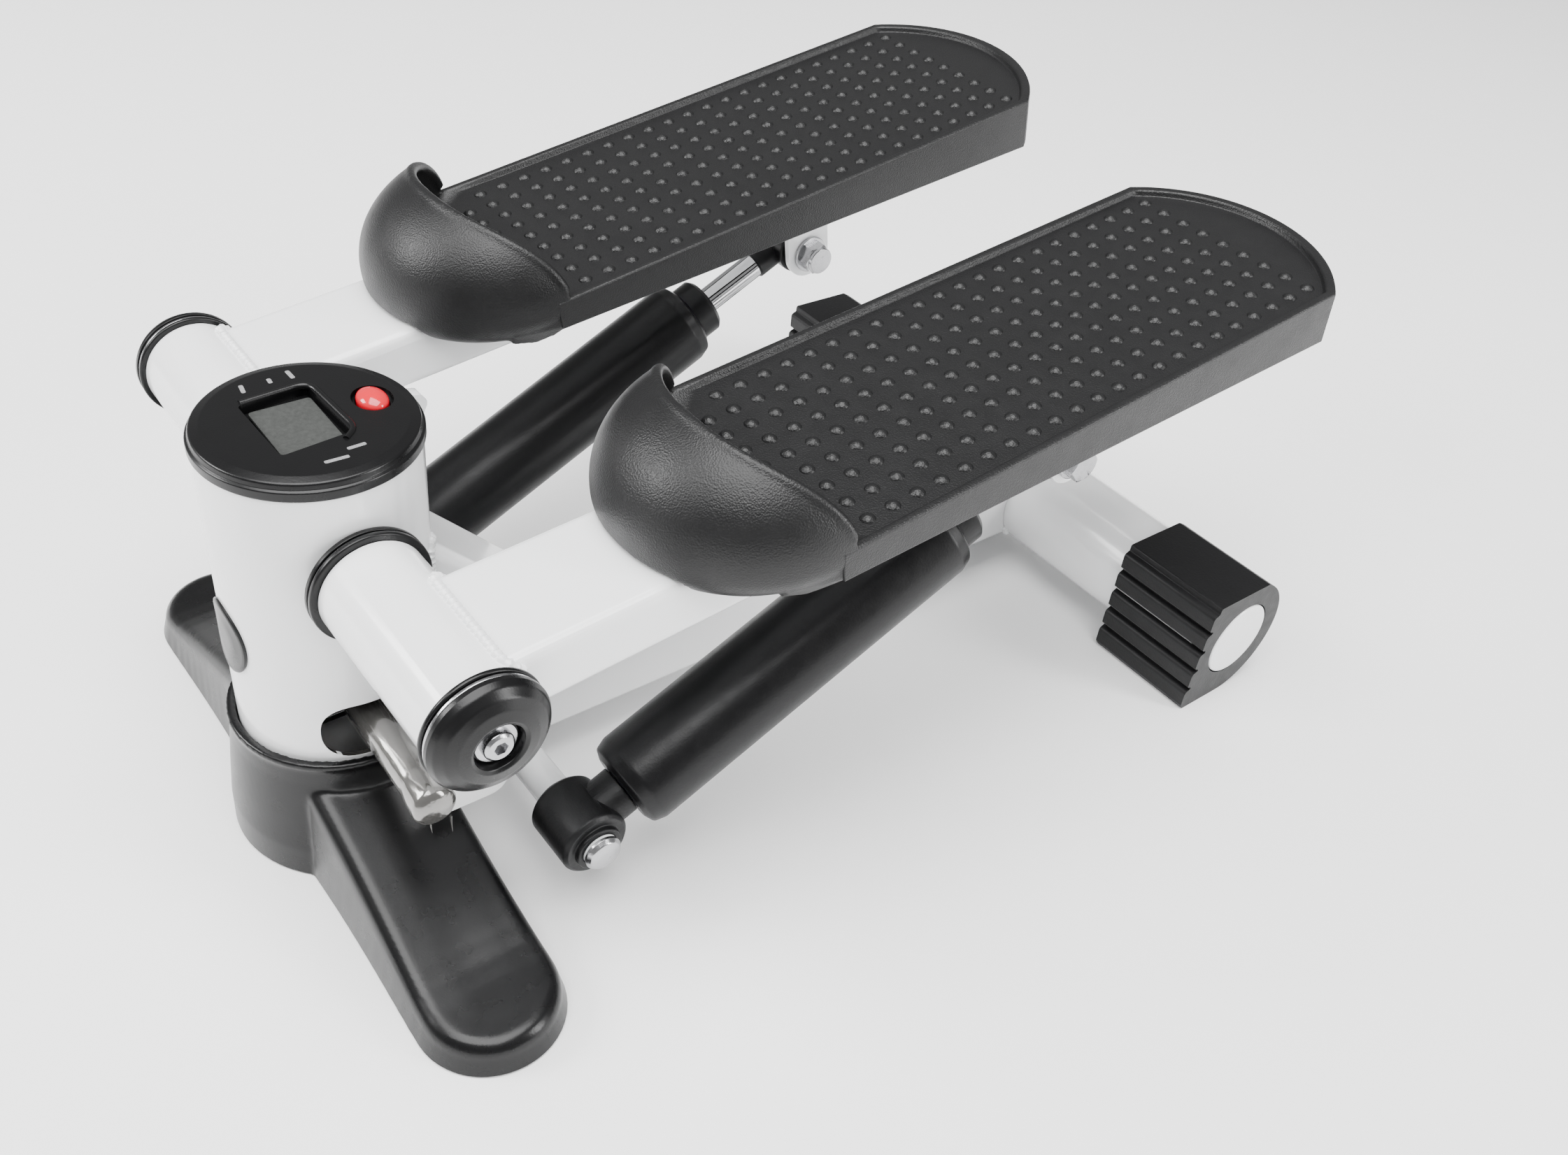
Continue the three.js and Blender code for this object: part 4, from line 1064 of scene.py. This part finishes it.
pair("pedal", pedal, on_pedal, sharp=55)

# ------------------------------------------------------------------ cylinders, along their own +Y


def lower_eye():
    eye = revolve(rounded([
        (ROD_R + GAP, -15.5), (9.6, -15.5, 0.8), (9.6, -13, 0.6), (12.5, -13, 0.8),
        (14, -11.5, 1.6), (14, 11.5, 1.6), (12.5, 13, 0.8), (9.6, 13, 0.6), (9.6, 15.5, 0.8),
        (ROD_R + GAP, 15.5)], 4, closed=True), "X", 80, ring=True)
    neck = rod(10, 9, BARREL_START - GAP, "Y", 64, 0.6)
    return union(eye, cut(neck, rod(ROD_R + GAP, -20, 20, sides=64, edge=0)))


def barrel():
    return revolve(rounded([
        (0, BARREL_START), (14, BARREL_START, 0.8), (17.9, BARREL_START + 1.6, 2),
        (BARREL_R, BARREL_START + 6.5, 6), (BARREL_R, BARREL_END - 7, 5), (18, BARREL_END - 2, 2),
        (14.5, BARREL_END, 0.5), (13.8, BARREL_END), (13.8, BARREL_END - 3.5),
        (16.5, BARREL_END - 3.5), (16.5, BARREL_START + 6), (0, BARREL_START + 6)], 6), "Y", 96)


def gland():
    return revolve(rounded([
        (PISTON_ROD_R + GAP, 172), (16.2, 172), (16.2, BARREL_END - 3.8), (13.5, BARREL_END - 3.8),
        (13.5, GLAND_END - 2, 1.2), (11.5, GLAND_END, 0.8), (PISTON_ROD_R + GAP, GLAND_END, 0.5)],
        4, closed=True), "Y", 80, ring=True)


def piston_rod():
    """Measured back from the clevis pin."""
    return revolve(rounded([
        (0, -PISTON_BACK), (16, -PISTON_BACK, 0.6), (16, 9 - PISTON_BACK, 0.6),
        (PISTON_ROD_R, 9 - PISTON_BACK), (PISTON_ROD_R, -SOCKET_BACK - GAP),
        (0, -SOCKET_BACK - GAP)], 3), "Y", 72)


def rod_eye():
    eye = rod(12.5, -11.5, 11.5, sides=80, edge=1.2)
    socket = rod(7, -SOCKET_BACK, -6, "Y", 64, 0.8)
    return bevelled(cut(union(eye, socket), rod(7.1, -20, 20, sides=64, edge=0)), 0.4, 2, 60)


def push_cap():
    start = CYLINDER_X + 16.5
    return revolve(rounded([
        (0, start), (7.6, start, 0.3), (7.6, start + 1.2, 0.4), (6.4, start + 2.8, 1.4),
        (3.5, start + 3.8, 2), (0, start + 4)], 5), "X", 72)


cross = CYLINDER_X + 16.2
piece(
    "cross_rod", rod(ROD_R, -cross, cross, sides=80, edge=0.8), "lower_cross_rod",
    shift(0, EYE_Y, EYE_Z))
pair("push_cap", push_cap, lambda side: shift(0, EYE_Y, EYE_Z) @ on_machine(side))
pair("lower_eye", lower_eye, on_cylinder, sharp=50)
pair("barrel", barrel, on_cylinder)
pair("gland", gland, on_cylinder)
pair("piston_rod", piston_rod, on_piston)
pair("rod_eye", rod_eye, on_piston)

# ------------------------------------------------------------------ CAD nodes that stay

for node in (
    "front_base_bar", "rocker_support", "rocker_pin", "step_sensor", "step_magnet",
    "circuit_board", "left_front_pad", "right_front_pad",
):
    kept = frame["nodes"][node]
    kept.data.materials.clear()
    kept.data.materials.append(finishes[slot_of[node]])
    weld = kept.modifiers.new("weld", "WELD")
    weld.merge_threshold = 1e-6
    soften = kept.modifiers.new("soften", "BEVEL")
    soften.width, soften.segments = 0.0004, 2
    soften.limit_method, soften.angle_limit = "ANGLE", math.radians(40)

# ------------------------------------------------------------------ studio


def studio():
    floor = bpy.data.objects.new("floor", block((-6000, -6000, -20), (6000, 6000, 0)))
    floor.data.transform(Matrix.Scale(MM, 4))
    paper = finish(
        "studio_paper", (0.93, 0.93, 0.93), 0.8, ("noise", 60, 0.02, 0.001, EVEN), tone=0.01)
    floor.data.materials.append(paper)
    bpy.context.scene.collection.objects.link(floor)

    world = bpy.context.scene.world or bpy.data.worlds.new("studio")
    bpy.context.scene.world = world
    world.use_nodes = True
    sky = world.node_tree.nodes["Background"]
    sky.inputs["Color"].default_value = (1, 1, 1, 1)
    sky.inputs["Strength"].default_value = 0.4

    lamps = [
        ("overhead", (0.3, -0.4, 2.6), 2.4, 2.4, 190),
        ("key", (-0.9, -1.4, 1.1), 0.7, 0.7, 34),
        ("side", (1.7, 1.2, 0.9), 0.5, 1.4, 40),
    ]
    for name, place, width, height, power in lamps:
        light = bpy.data.lights.new(name, "AREA")
        light.shape = "RECTANGLE"
        light.size, light.size_y, light.energy = width, height, power
        lamp = bpy.data.objects.new(name, light)
        lamp.location = place
        lamp.rotation_mode = "QUATERNION"
        aim = Vector((0, 0, 0.1)) - Vector(place)
        lamp.rotation_quaternion = aim.to_track_quat("-Z", "Y")
        bpy.context.scene.collection.objects.link(lamp)


def camera():
    """Stands over the left front corner and leans a little to one side."""
    place, target, roll, focal = (399.94, -141.69, 455.53), (54.78, 174.63, 80.3), 7.69, 32.58
    lens = bpy.data.cameras.new("camera")
    lens.sensor_width, lens.lens = 36, focal
    lens.clip_start, lens.clip_end = 0.01, 50
    made = bpy.data.objects.new("camera", lens)
    made.rotation_mode = "QUATERNION"
    made.location = TO_ROW @ Vector(place)
    aim = (Vector(target) - Vector(place)).to_track_quat("-Z", "Y")
    made.rotation_quaternion = aim @ Matrix.Rotation(math.radians(roll), 3, "Z").to_quaternion()
    bpy.context.scene.collection.objects.link(made)
    bpy.context.scene.camera = made


studio()
camera()
